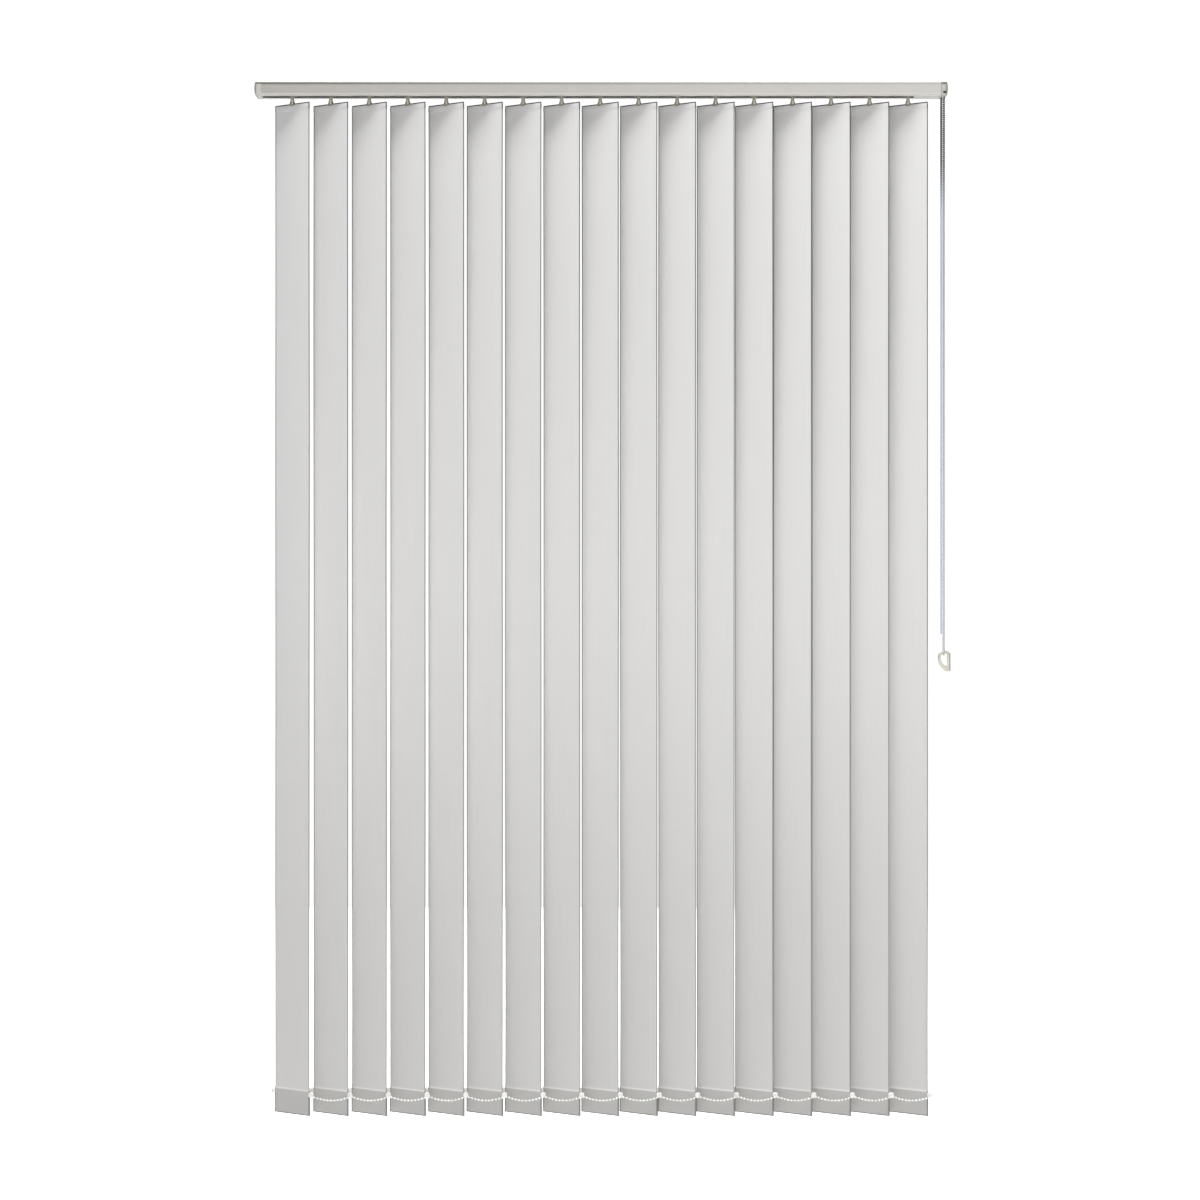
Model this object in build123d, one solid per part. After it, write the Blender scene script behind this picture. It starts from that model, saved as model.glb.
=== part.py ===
from build123d import *
import os
from math import cos, pi, radians, sin, tan

# Vertical louvre blind for a window: an aluminium headrail, louvre carriers that slide and
# turn in it, hanging fabric louvres with weights and link chains, a draw cord and a tilt chain.
#
# Frame: X runs along the headrail towards the control end, -Y faces the room, +Z is up.
# The origin is on the ceiling plane, over the middle of the headrail. Units are millimetres.

# ---------------------------------------------------------------- layout
LOUVRES = 17
LOUVRE_PITCH = 80.0        # spacing of the carriers when the blind is drawn across
IDLE_MARGIN = 62.0         # cut end of the rail to the first louvre's stem
CONTROL_MARGIN = 66.0      # last louvre's stem to the cut end of the rail
REST_TURN = 30.8           # degrees that the louvres are turned open from the closed position

# ---------------------------------------------------------------- headrail section
RAIL_DEPTH = 44.0
RAIL_HEIGHT = 27.0
RAIL_WALL = 1.4
RAIL_TOP_RADIUS = 2.0
RAIL_FOOT_RADIUS = 1.2
SLOT_WIDTH = 16.0          # gap between the two lips that the stems hang through
LIP_RIB_HEIGHT = 1.2       # upturned edge of each lip, which keeps the wheels on it
LIP_RIB_WIDTH = 1.2
CHANNEL_WIDTH = 24.0       # undercut channel along the top, for the ceiling clips
CHANNEL_MOUTH = 19.0
CHANNEL_LIP = 1.2
CHANNEL_DEPTH = 1.5        # height of the space under the channel's lips

# ---------------------------------------------------------------- ceiling clips
CLIP_PLACES = (-560.0, 0.0, 560.0)
CLIP_LENGTH = 30.0
CLIP_BOSS_LENGTH = 20.0
CLIP_PLATE = 1.2
CLIP_SCREW_R = 2.25
CLIP_SCREW_HEAD_R = 4.2
CLIP_ROUND = 1.0

# ---------------------------------------------------------------- end caps
CAP_LENGTH = 12.0
CAP_BULGE = 2.0            # how far the middle of a cap's end stands out past its edges
CAP_WALL = 2.0
CAP_EASE = 0.2             # the control cap's side walls are thinner by this
TONGUE_LENGTH = 54.0       # plate of the control end that closes the slot beside the last carrier
TONGUE_WIDTH_GAP = 0.3
TONGUE_THICK = 1.9
TONGUE_SIDE_GAP = 2.0
JOIN = 0.5                 # how far a rib or post runs into what it stands on
POST_FROM_END = 12.0       # post that carries the tilt rod's control end
POST_LENGTH = 6.0
POST_HALF = 4.6
POST_RISE = 4.4
BEARING_WALL = 2.0
BEARING_SHORT = 2.0        # end of the idle cap's bearing to the cut end of the rail
BEARING_FLOOR = 1.0
BEARING_GAP = 0.15
KEY_FROM_END = 7.0         # recess in the front of the control cap, for its release
KEY_LENGTH = 5.0
KEY_DEPTH = 1.2
KEY_FOOT = -23.2
KEY_TOP = -19.0

# ---------------------------------------------------------------- tilt rod, worm and chain wheel
ROD_Y = 8.6
ROD_RISE = 11.6            # tilt rod's axis above the lips
ROD_R = 2.6                # outer radius of the three lobes
LOBE_R = 1.2
CORE_R = 1.8
WORM_R = 3.9
WORM_LENGTH = 9.0
WORM_BORE_GAP = 0.3
CHAIN_BEAD_R = 1.8
CHAIN_TURN_R = 9.0         # radius of the chain's middle line round the wheel
CHAIN_COVER = 0.8          # chain's outside to the flat edge of the control cap
CHAIN_HOLE_GAP = 0.3
WHEEL_GAP = 0.4
WHEEL_SIDE_GAP = 0.5       # chain to the wheel's flange
WHEEL_SHORT = 0.2
WHEEL_FACE = 0.8           # web of the wheel that closes it over the rod's end
ROD_PRESS_GAP = 0.02
ROD_END_GAP = 1.5
WHEEL_FLANGE = 1.4
WHEEL_FLANGE_R = 9.5

# ---------------------------------------------------------------- carriers
CARRIER_LENGTH = 20.0
CARRIER_FRONT = -8.5
CARRIER_BACK = 14.5
CARRIER_TOP_RISE = 16.6    # each rise is a height above the lips
CARRIER_FLOOR_RISE = 6.6
PINION_R = 4.5
PINION_TOP_RISE = 14.6
PINION_FOOT_RISE = 8.0
PINION_GAP = 0.3
PINION_END_GAP = 0.4
STEM_R = 3.3
STEM_GAP = 0.3
BOSS_R = 5.5
BOSS_FOOT_RISE = 1.0
WORM_GAP = 0.3
ROD_ROOM = 0.6             # the carrier's own hole round the tilt rod
ROLLER_R = 3.0
ROLLER_WIDTH = 3.0
ROLLER_GAP = 0.3           # roller's tread to the lip, and roller to the leg that holds it
ROLLER_X = 5.6
ROLLER_BORE_GAP = 0.05
AXLE_R = 1.0
AXLE_OVER = 0.2            # end of an axle past its roller
LEG_SLOT_GAP = 0.2         # edge of the slot to the inner face of the leg above it
LEG_THICK = 1.4
LEG_FOOT_MARGIN = 0.5

# ---------------------------------------------------------------- spacer strips and their comb
LANES = 4
LANE_PITCH = 1.8
FIRST_LANE_Y = -6.6
TOOTH = 0.7
COMB_HEIGHT = 2.5
COMB_LENGTH = 5.0
STRIP_THICK = 0.5
STRIP_HEIGHT = 1.8
STRIP_LIFT = 0.3
STRIP_OVERRUN = 4.0
STRIP_START = 2.0
GRIP_HALF = 6.0            # block on the lead carrier that holds the draw cord
GRIP_WALL = 1.3
GRIP_RISE = 2.1
GRIP_GAP = 0.3

# ---------------------------------------------------------------- draw cord
CORD_R = 0.95
CORD_RISE = 2.0            # cord's middle line above the carriers
CORD_FRONT_Y = 2.0
CORD_BACK_Y = 14.0
CORD_FROM_END = 8.0        # hanging cord's middle line to the flat edge of the control cap
CORD_TURN_R = 4.0
CORD_DROP = 1144.0         # lowest point of the loop's middle line, below the ceiling
CORD_RETURN_X = 2.0        # the cord's far turn, past the cut end of the rail
CORD_PULLEY_GAP = 0.1
CORD_TIE = 2.0
CORD_HOLE_GAP = 0.55
PULLEY_WIDTH = 3.4
PULLEY_FLANGE = 0.4        # the flange's edge past the cord's middle line
PULLEY_RIM = 0.6
PULLEY_SIDE_GAP = 0.2
PULLEY_ARM = 2.2
PULLEY_ARM_HALF = 2.0
RETURN_WIDTH = 3.6
RETURN_GAP = 0.4
RETURN_ARM = 1.2
RETURN_ARM_HALF = 4.0

# ---------------------------------------------------------------- tilt chain and safety clip
CHAIN_DROP = 1186.6        # lowest point of the loop's middle line, below the ceiling
SAFETY_THICK = 9.6
SAFETY_ROUND = 3.0
SAFETY_EDGE = 1.0
SAFETY_PAD = 2.0
SAFETY_SCREW_R = 2.0
SAFETY_ACCESS_R = 3.2
SAFETY_BASE = 11.6         # chain's middle line to the clip's flat side
SAFETY_EYE_GAP = 0.6
SAFETY_SCREW_DROP = 9.8
SAFETY_PAD_HALF = 4.2
SAFETY_PAD_TOP = 3.6
SAFETY_PAD_FOOT = -33.8

# ---------------------------------------------------------------- louvres
LOUVRE_WIDTH = 89.0
LOUVRE_LENGTH = 2100.0
LOUVRE_DROP = 14.0         # underside of the rail to the louvre's top edge
FABRIC = 0.4
TOP_POCKET = 13.0
BOTTOM_POCKET = 50.0
HANGER_THICK = 0.6
HANGER_GAP = 0.2           # slack round the hanger in its pocket
HANGER_INSET = 2.5         # louvre's edge to the end of the hanger
WEIGHT_THICK = 1.5
WEIGHT_GAP = 0.1
WEIGHT_INSET = 4.5         # louvre's edge to the end of the weight
HEM_TAPER = 2.5

# ---------------------------------------------------------------- hook
NECK_R = 2.5
COLLAR_R = 4.2
COLLAR_GAP = 0.4           # collar to the underside of the rail
NECK_DROP = 4.2            # underside of the rail to the narrowest part of the neck
FOOT_DROP = 16.8           # underside of the rail to the widest part of the foot
FOOT_HALF = 6.6
FOOT_ROUND = 2.0
FOOT_THICK = 6.4
FOOT_SLOT = 2.6
FOOT_SLOT_OVER = 1.2       # top of the slot above the louvre
NECK_LENGTH = 3.0
FLARE_DROP = 6.2           # a point that the foot's flare runs through, below the neck
FLARE_OUT = 1.0
FLARE_SLOPE = 1.2
WINDOW_RISE = 2.6          # small hole in the foot, above the louvre
WINDOW_R = 1.1
PIN_R = 0.9
PIN_DEPTH = 2.7            # pin's middle below the louvre's top edge
PIN_GAP = 0.3

# ---------------------------------------------------------------- bottom clips and link chains
TAB_REACH = 7.5            # louvre's edge to the link chain's middle line
TAB_HEIGHT = 6.3
TAB_BELOW_SEAM = 2.6
TAB_HOLE_R = 1.0
TAB_END = 1.5              # link chain's middle line to the end of the tab
LINK_R = 0.4
LINK_GAP = 0.3             # link chain to the tab above it
LINK_SAG = 8.0

# ---------------------------------------------------------------- worked out from the sizes above
BIG = 400.0
row_length = (LOUVRES - 1) * LOUVRE_PITCH
rail_length = row_length + IDLE_MARGIN + CONTROL_MARGIN
rail_left = -rail_length / 2
rail_right = rail_length / 2
first_stem = rail_left + IDLE_MARGIN
stems = [first_stem + LOUVRE_PITCH * i for i in range(LOUVRES)]
last_stem = stems[-1]
cap_right = rail_right + CAP_LENGTH
cap_left = rail_left - CAP_LENGTH
half_depth = RAIL_DEPTH / 2
lip_top = -RAIL_HEIGHT + RAIL_WALL
channel_floor = -CHANNEL_LIP - CHANNEL_DEPTH
rod_axis_z = lip_top + ROD_RISE
carrier_top = lip_top + CARRIER_TOP_RISE
carrier_floor = lip_top + CARRIER_FLOOR_RISE
pinion_top = lip_top + PINION_TOP_RISE
pinion_foot = lip_top + PINION_FOOT_RISE
boss_foot = lip_top + BOSS_FOOT_RISE
leg_inner = SLOT_WIDTH / 2 + LEG_SLOT_GAP
cord_z = carrier_top + CORD_RISE
chain_x = cap_right - CHAIN_COVER - CHAIN_BEAD_R
cord_x = cap_right - CORD_FROM_END
roller_z = lip_top + ROLLER_GAP + ROLLER_R
louvre_top = -RAIL_HEIGHT - LOUVRE_DROP
louvre_foot = louvre_top - LOUVRE_LENGTH
seam_z = louvre_foot + BOTTOM_POCKET
tab_top = seam_z - TAB_BELOW_SEAM
tab_foot = tab_top - TAB_HEIGHT
link_reach = LOUVRE_WIDTH / 2 + TAB_REACH
pin_z = louvre_top - PIN_DEPTH


def block(x0, x1, y0, y1, z0, z1):
    """A box between two corners."""
    return Pos((x0 + x1) / 2, (y0 + y1) / 2, (z0 + z1) / 2) * Box(x1 - x0, y1 - y0, z1 - z0)


def rod_x(x0, x1, y, z, r):
    """A cylinder along X."""
    return Pos((x0 + x1) / 2, y, z) * Rot(0, 90, 0) * Cylinder(r, x1 - x0)


def rod_y(x, y0, y1, z, r):
    """A cylinder along Y."""
    return Pos(x, (y0 + y1) / 2, z) * Rot(90, 0, 0) * Cylinder(r, y1 - y0)


def rod_z(x, y, z0, z1, r):
    """A cylinder along Z."""
    return Pos(x, y, (z0 + z1) / 2) * Cylinder(r, z1 - z0)


def area(a0, a1, b0, b1):
    """A rectangle between two corners of a sketch."""
    return Pos((a0 + a1) / 2, (b0 + b1) / 2) * Rectangle(a1 - a0, b1 - b0)


def save(name, *solids):
    """Write the solids of one sub-part as its own STEP file."""
    flat = [s for shape in solids for s in shape.solids()]
    whole = flat[0] if len(flat) == 1 else Compound(children=flat)
    export_step(whole, f"parts/{name}.step")


def tube(points, radii, r):
    """A round tube along straight runs joined by tangent arcs."""
    path = FilletPolyline(*points, radius=radii)
    start = Plane(origin=path @ 0, z_dir=path % 0)
    return sweep(start * Circle(r), path=path)


# ---------------------------------------------------------------- headrail
def rail_outline():
    """Outside of the rail's section, in Y and Z."""
    outline = area(-half_depth, half_depth, -RAIL_HEIGHT, 0)
    corners = outline.vertices().sort_by(Axis.Y)
    outline = fillet(corners[2:], RAIL_TOP_RADIUS)
    corners = outline.vertices().sort_by(Axis.Y)
    return fillet(corners[:2], RAIL_FOOT_RADIUS)


def rail_section():
    """The extruded profile: slot and ribbed lips below, undercut channel above."""
    inner = half_depth - RAIL_WALL
    tray = CHANNEL_WIDTH / 2 + CHANNEL_LIP
    slot = SLOT_WIDTH / 2
    section = rail_outline() - area(-inner, inner, lip_top, -RAIL_WALL)
    section += area(-tray, tray, channel_floor - CHANNEL_LIP, 0)
    section -= area(-CHANNEL_WIDTH / 2, CHANNEL_WIDTH / 2, channel_floor, -CHANNEL_LIP)
    section -= area(-CHANNEL_MOUTH / 2, CHANNEL_MOUTH / 2, -CHANNEL_LIP, 1)
    for side in (-1, 1):
        edges = sorted((side * slot, side * (slot + LIP_RIB_WIDTH)))
        section += area(edges[0], edges[1], lip_top - RAIL_WALL / 2, lip_top + LIP_RIB_HEIGHT)
    return section - area(-slot, slot, -RAIL_HEIGHT - 1, lip_top)


def make_headrail():
    save("headrail", extrude(Plane.YZ.offset(rail_left) * rail_section(), rail_length))


# ---------------------------------------------------------------- ceiling clips
def ceiling_clip(x):
    """A plate held under the channel's lips, with a boss that reaches the ceiling."""
    gap = (CHANNEL_DEPTH - CLIP_PLATE) / 2
    plate_top = -CHANNEL_LIP - gap
    plate_foot = plate_top - CLIP_PLATE
    half = CHANNEL_WIDTH / 2 - 2 * gap
    boss = CHANNEL_MOUTH / 2 - 2 * gap
    clip = block(-CLIP_LENGTH / 2, CLIP_LENGTH / 2, -half, half, plate_foot, plate_top)
    clip += block(-CLIP_BOSS_LENGTH / 2, CLIP_BOSS_LENGTH / 2, -boss, boss, plate_top, 0)
    clip = fillet(clip.edges().filter_by(Axis.Z), CLIP_ROUND)
    clip -= rod_z(0, 0, plate_foot - 1, 1, CLIP_SCREW_R)
    sink = CLIP_SCREW_HEAD_R - CLIP_SCREW_R
    clip -= Pos(0, 0, plate_foot + sink / 2) * Cone(CLIP_SCREW_HEAD_R, CLIP_SCREW_R, sink)
    return Pos(x, 0, 0) * clip


def make_ceiling_clips():
    save("ceiling_clips", *[ceiling_clip(x) for x in CLIP_PLACES])


# ---------------------------------------------------------------- end caps
def cap_shell(side):
    """A moulded cap with the rail's outline and a convex end; side is -1 idle, 1 control."""
    crown_x = side * (rail_right + CAP_LENGTH + CAP_BULGE)
    half_height = RAIL_HEIGHT / 2
    bulge_r = (half_height ** 2 + CAP_BULGE ** 2) / (2 * CAP_BULGE)
    reach = CAP_LENGTH + CAP_BULGE + 1
    start = rail_right if side > 0 else rail_left - reach
    blank = extrude(Plane.YZ.offset(start) * rail_outline(), reach)
    x = crown_x - side * bulge_r
    return blank & rod_y(x, -RAIL_DEPTH, RAIL_DEPTH, -half_height, bulge_r)


def pulley(turn_r, width):
    """A grooved pulley about Z for the cord, with a plain bore for its pin."""
    seat = turn_r - CORD_R - CORD_PULLEY_GAP
    flange = turn_r + PULLEY_FLANGE
    wheel = Cylinder(seat, width)
    for end in (-1, 1):
        wheel += Pos(0, 0, end * (width - PULLEY_RIM) / 2) * Cylinder(flange, PULLEY_RIM)
    return wheel - Cylinder(AXLE_R + ROLLER_BORE_GAP, width + 1)


def idle_cap():
    """Cap of the far end: it carries the tilt rod's bearing and the cord's return pulley."""
    inside = cap_left + CAP_WALL
    side = half_depth - CAP_WALL
    cap = cap_shell(-1)
    cap -= block(inside, rail_left + 1, -side, side, -RAIL_HEIGHT + CAP_WALL, -CAP_WALL)
    bearing_end = rail_left - BEARING_SHORT
    cap += rod_x(inside - JOIN, bearing_end, ROD_Y, rod_axis_z, ROD_R + BEARING_WALL)
    cap -= rod_x(inside + BEARING_FLOOR, rail_left, ROD_Y, rod_axis_z, ROD_R + BEARING_GAP)
    turn_r = (CORD_BACK_Y - CORD_FRONT_Y) / 2
    turn_y = (CORD_BACK_Y + CORD_FRONT_Y) / 2
    turn_x = rail_left - CORD_RETURN_X + turn_r
    reach = RETURN_WIDTH / 2 + RETURN_GAP
    arm_top = cord_z - reach
    arm_front = turn_y - RETURN_ARM_HALF
    arm_back = turn_y + RETURN_ARM_HALF
    cap += block(inside - JOIN, turn_x + turn_r, arm_front, arm_back, arm_top - RETURN_ARM, arm_top)
    cap += rod_z(turn_x, turn_y, arm_top - RETURN_ARM / 2, cord_z + reach, AXLE_R)
    wheel = Pos(turn_x, turn_y, cord_z) * pulley(turn_r, RETURN_WIDTH)
    return [cap, wheel]


def control_end():
    """Cap of the control end: chain wheel housing, cord guides and the plate that closes the slot."""
    chain_hole = CHAIN_BEAD_R + CHAIN_HOLE_GAP
    far = chain_x + chain_hole
    side = half_depth - CAP_WALL + CAP_EASE
    cap = cap_shell(1)
    cap -= block(rail_right - 1, far, -side, side, -RAIL_HEIGHT + CAP_WALL, -CAP_WALL)
    tongue = SLOT_WIDTH / 2 - TONGUE_WIDTH_GAP
    start = rail_right - TONGUE_LENGTH
    plate_foot = lip_top + ROLLER_GAP
    plate_top = plate_foot + TONGUE_THICK
    ribs = SLOT_WIDTH / 2 + LIP_RIB_WIDTH + TONGUE_WIDTH_GAP
    wide = half_depth - RAIL_WALL - TONGUE_SIDE_GAP
    cap += block(start, rail_right + 1, -tongue, tongue, -RAIL_HEIGHT, plate_top)
    cap += block(start, rail_right + 1, -wide, wide, plate_foot + LIP_RIB_HEIGHT, plate_top)
    for y0, y1 in ((-wide, -ribs), (ribs, wide)):
        cap += block(start, rail_right + 1, y0, y1, plate_foot, plate_top)
    post = rail_right - POST_FROM_END
    post_end = post + POST_LENGTH
    post_top = rod_axis_z + POST_RISE
    cap += block(post, post_end, ROD_Y - POST_HALF, ROD_Y + POST_HALF, plate_top - JOIN, post_top)
    cap -= rod_x(post - 1, post_end + 1, ROD_Y, rod_axis_z, ROD_R + BEARING_GAP)
    turn_x = cord_x - CORD_TURN_R
    turn_z = cord_z - CORD_TURN_R
    below = -RAIL_HEIGHT - 1
    floor_top = -RAIL_HEIGHT + CAP_WALL + 1
    solids = []
    for y, away in ((CORD_FRONT_Y, -1), (CORD_BACK_Y, 1)):
        near = y + away * (PULLEY_WIDTH / 2 + PULLEY_SIDE_GAP)
        out = near + away * PULLEY_ARM
        y0, y1 = sorted((near, out))
        arm_end = min(turn_x + PULLEY_ARM_HALF, rail_right + 1)
        arm_top = turn_z + PULLEY_ARM_HALF
        cap += block(turn_x - PULLEY_ARM_HALF, arm_end, y0, y1, plate_top - JOIN, arm_top)
        y2, y3 = sorted((y - away * PULLEY_WIDTH / 2, out))
        cap += rod_y(turn_x, y2, y3, turn_z, AXLE_R)
        solids.append(Pos(turn_x, y, turn_z) * Rot(90, 0, 0) * pulley(CORD_TURN_R, PULLEY_WIDTH))
        cap -= rod_z(cord_x, y, below, floor_top, CORD_R + CORD_HOLE_GAP)
    for y in (ROD_Y - CHAIN_TURN_R, ROD_Y + CHAIN_TURN_R):
        cap -= rod_z(chain_x, y, below, floor_top, chain_hole)
    key_x = cap_right - KEY_FROM_END
    key_back = -half_depth + KEY_DEPTH
    cap -= block(key_x, key_x + KEY_LENGTH, -half_depth - 1, key_back, KEY_FOOT, KEY_TOP)
    return [cap] + solids


def make_end_caps():
    save("end_caps", *idle_cap(), *control_end())


# ---------------------------------------------------------------- tilt rod and chain wheel
def make_tilt_rod():
    section = Circle(CORE_R)
    for k in range(3):
        turn = 2 * pi * k / 3
        reach = ROD_R - LOBE_R
        section += Pos(reach * cos(turn), reach * sin(turn)) * Circle(LOBE_R)
    start = cap_left + CAP_WALL + ROD_END_GAP
    wheel_r = CHAIN_TURN_R - CHAIN_BEAD_R - WHEEL_GAP
    wheel_end = chain_x + CHAIN_BEAD_R - WHEEL_SHORT
    flange_x = chain_x - CHAIN_BEAD_R - WHEEL_SIDE_GAP
    rod_end = wheel_end - WHEEL_FACE
    rod = extrude(Plane.YZ.offset(start) * Pos(ROD_Y, rod_axis_z) * section, rod_end - start)
    wheel = rod_x(flange_x - WHEEL_FLANGE, wheel_end, ROD_Y, rod_axis_z, wheel_r)
    wheel += rod_x(flange_x - WHEEL_FLANGE, flange_x, ROD_Y, rod_axis_z, WHEEL_FLANGE_R)
    wheel -= rod_x(flange_x - WHEEL_FLANGE - 1, rod_end + 0.1, ROD_Y, rod_axis_z, ROD_R + ROD_PRESS_GAP)
    save("tilt_rod", rod, wheel)


# ---------------------------------------------------------------- carriers
def carrier_frame(is_lead):
    """The moulded body about the stem's axis, with legs, axles and the strip comb on top."""
    half = CARRIER_LENGTH / 2
    frame = block(-half, half, CARRIER_FRONT, CARRIER_BACK, carrier_floor, carrier_top)
    frame += rod_z(0, 0, boss_foot, carrier_floor, BOSS_R)
    leg_foot = roller_z - AXLE_R - LEG_FOOT_MARGIN
    leg_outer = leg_inner + LEG_THICK
    for side in (-1, 1):
        y0, y1 = sorted((side * leg_inner, side * leg_outer))
        frame += block(-half + 1, half - 1, y0, y1, leg_foot, carrier_floor + 1)
        reach = leg_outer + ROLLER_GAP + ROLLER_WIDTH + AXLE_OVER
        y0, y1 = sorted((side * (leg_outer - 0.5), side * reach))
        for x in (-ROLLER_X, ROLLER_X):
            frame += rod_y(x, y0, y1, roller_z, AXLE_R)
    for k in range(LANES + 1):
        y = FIRST_LANE_Y + LANE_PITCH * (k - 0.5)
        frame += block(-COMB_LENGTH / 2, COMB_LENGTH / 2, y - TOOTH / 2, y + TOOTH / 2,
                       carrier_top - 0.2, carrier_top + COMB_HEIGHT)
    if is_lead:
        grip = CORD_R + GRIP_WALL
        grip_front = CORD_FRONT_Y - grip
        grip_back = CORD_FRONT_Y + grip
        grip_top = cord_z + GRIP_RISE
        frame += block(-GRIP_HALF, GRIP_HALF, grip_front, grip_back, carrier_top - 0.2, grip_top)
        frame -= rod_x(-GRIP_HALF - 1, GRIP_HALF + 1, CORD_FRONT_Y, cord_z, CORD_R + GRIP_GAP)
    cavity_r = WORM_R + WORM_GAP
    room = WORM_LENGTH / 2 + WORM_GAP
    frame -= rod_x(-room, room, ROD_Y, rod_axis_z, cavity_r)
    frame -= block(-room, room, ROD_Y, CARRIER_BACK + 1, rod_axis_z - cavity_r, rod_axis_z + cavity_r)
    frame -= rod_x(-half - 1, half + 1, ROD_Y, rod_axis_z, ROD_R + ROD_ROOM)
    pinion_hole = (pinion_foot - PINION_END_GAP, pinion_top + PINION_END_GAP)
    frame -= rod_z(0, 0, *pinion_hole, PINION_R + PINION_GAP)
    frame -= rod_z(0, 0, boss_foot - 1, pinion_foot, STEM_R + STEM_GAP)
    return frame


def roller(x, side):
    """One of the four wheels that run on the rail's lips."""
    inner = leg_inner + LEG_THICK + ROLLER_GAP
    y0, y1 = sorted((side * inner, side * (inner + ROLLER_WIDTH)))
    return rod_y(x, y0, y1, roller_z, ROLLER_R) - rod_y(x, y0 - 1, y1 + 1, roller_z, AXLE_R + ROLLER_BORE_GAP)


def worm():
    """The worm sleeve that the tilt rod runs through."""
    half = WORM_LENGTH / 2
    sleeve = rod_x(-half, half, ROD_Y, rod_axis_z, WORM_R)
    return sleeve - rod_x(-half - 1, half + 1, ROD_Y, rod_axis_z, ROD_R + WORM_BORE_GAP)


def spacer_strip(index):
    """The flat strip that sets the distance to the neighbouring carrier."""
    y = FIRST_LANE_Y + LANE_PITCH * (index % LANES)
    foot = carrier_top + STRIP_LIFT
    end = -LOUVRE_PITCH - STRIP_OVERRUN
    front = y - STRIP_THICK / 2
    back = y + STRIP_THICK / 2
    strip = block(end, STRIP_START, front, back, foot, foot + STRIP_HEIGHT)
    return strip + block(-STRIP_START, STRIP_START, front, back, carrier_top, foot)


def make_carriers():
    for index, x in enumerate(stems):
        is_lead = index == 0
        pieces = [carrier_frame(is_lead), worm()]
        pieces += [roller(rx, side) for rx in (-ROLLER_X, ROLLER_X) for side in (-1, 1)]
        if not is_lead:
            pieces.append(spacer_strip(index))
        save(f"carrier_{index + 1:02d}", *[Pos(x, 0, 0) * piece for piece in pieces])


# ---------------------------------------------------------------- louvre and its fittings
# Both are drawn about the stem's axis, with the louvre in the XZ plane, and then turned.
def hook():
    """Pinion, stem, waisted neck and the forked foot that the louvre hangs in."""
    under = -RAIL_HEIGHT
    collar_top = under - COLLAR_GAP
    neck_z = under - NECK_DROP
    wide_z = under - FOOT_DROP
    foot_z = wide_z - FOOT_ROUND
    profile = Polyline((0, collar_top), (COLLAR_R, collar_top), (NECK_R, neck_z),
                       (NECK_R, neck_z - NECK_LENGTH), (0, neck_z - NECK_LENGTH), (0, collar_top))
    neck = revolve(Plane.XZ * make_face(profile), Axis.Z)
    flare_x = NECK_R + FLARE_OUT
    flare_z = neck_z - FLARE_DROP
    left_flare = ThreePointArc((-FOOT_HALF, wide_z), (-flare_x, flare_z), (-NECK_R, neck_z))
    right_flare = ThreePointArc((NECK_R, neck_z), (flare_x, flare_z), (FOOT_HALF, wide_z))
    sole = ThreePointArc((FOOT_HALF, wide_z), (0, foot_z), (-FOOT_HALF, wide_z))
    outline = left_flare + Line((-NECK_R, neck_z), (NECK_R, neck_z)) + right_flare + sole
    foot = extrude(Plane.XZ * make_face(outline), FOOT_THICK / 2, both=True)
    waist = extrude(Plane.XZ * area(-BIG, BIG, foot_z - 1, neck_z + 1), NECK_R, both=True)
    slope = FLARE_SLOPE * (FOOT_THICK / 2 - NECK_R)
    wedge = block(-FOOT_HALF - 1, FOOT_HALF + 1, -FOOT_THICK, FOOT_THICK, foot_z - 1, neck_z - 2 - slope)
    foot = foot & (waist + wedge)
    slot_top = louvre_top + FOOT_SLOT_OVER
    foot -= block(-FOOT_HALF - 1, FOOT_HALF + 1, -FOOT_SLOT / 2, FOOT_SLOT / 2, foot_z - 1, slot_top)
    foot -= rod_y(0, -FOOT_THICK, FOOT_THICK, louvre_top + WINDOW_RISE, WINDOW_R)
    foot += rod_y(0, -FOOT_THICK / 2, FOOT_THICK / 2, pin_z, PIN_R)
    stem = rod_z(0, 0, pinion_foot, pinion_top, PINION_R) + rod_z(0, 0, collar_top, pinion_foot, STEM_R)
    return stem + neck + foot


def hanger():
    """The stiff strip in the louvre's top pocket, with a hole for the hook's pin."""
    top = louvre_top - FABRIC - HANGER_GAP / 2
    foot = louvre_top - TOP_POCKET + FABRIC + HANGER_GAP
    half = LOUVRE_WIDTH / 2 - HANGER_INSET
    strip = block(-half, half, -HANGER_THICK / 2, HANGER_THICK / 2, foot, top)
    return strip - rod_y(0, -1, 1, pin_z, PIN_R + PIN_GAP)


def bottom_weight():
    """The plate in the bottom pocket, with a clip tab at each end for the link chains."""
    half = LOUVRE_WIDTH / 2 - WEIGHT_INSET
    thick = WEIGHT_THICK / 2
    foot = louvre_foot + FABRIC + WEIGHT_GAP
    end = link_reach + TAB_END
    round_r = TAB_HEIGHT / 2
    tab_z = (tab_top + tab_foot) / 2
    plate = block(-half, half, -thick, thick, foot, tab_top)
    plate += block(-end + round_r, end - round_r, -thick, thick, tab_foot, tab_top)
    for side in (-1, 1):
        centre = side * (end - round_r)
        plate += rod_y(centre, -thick, thick, tab_z, round_r)
        plate -= rod_y(centre, -thick - 1, thick + 1, tab_z, TAB_HOLE_R)
    return plate


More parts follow.
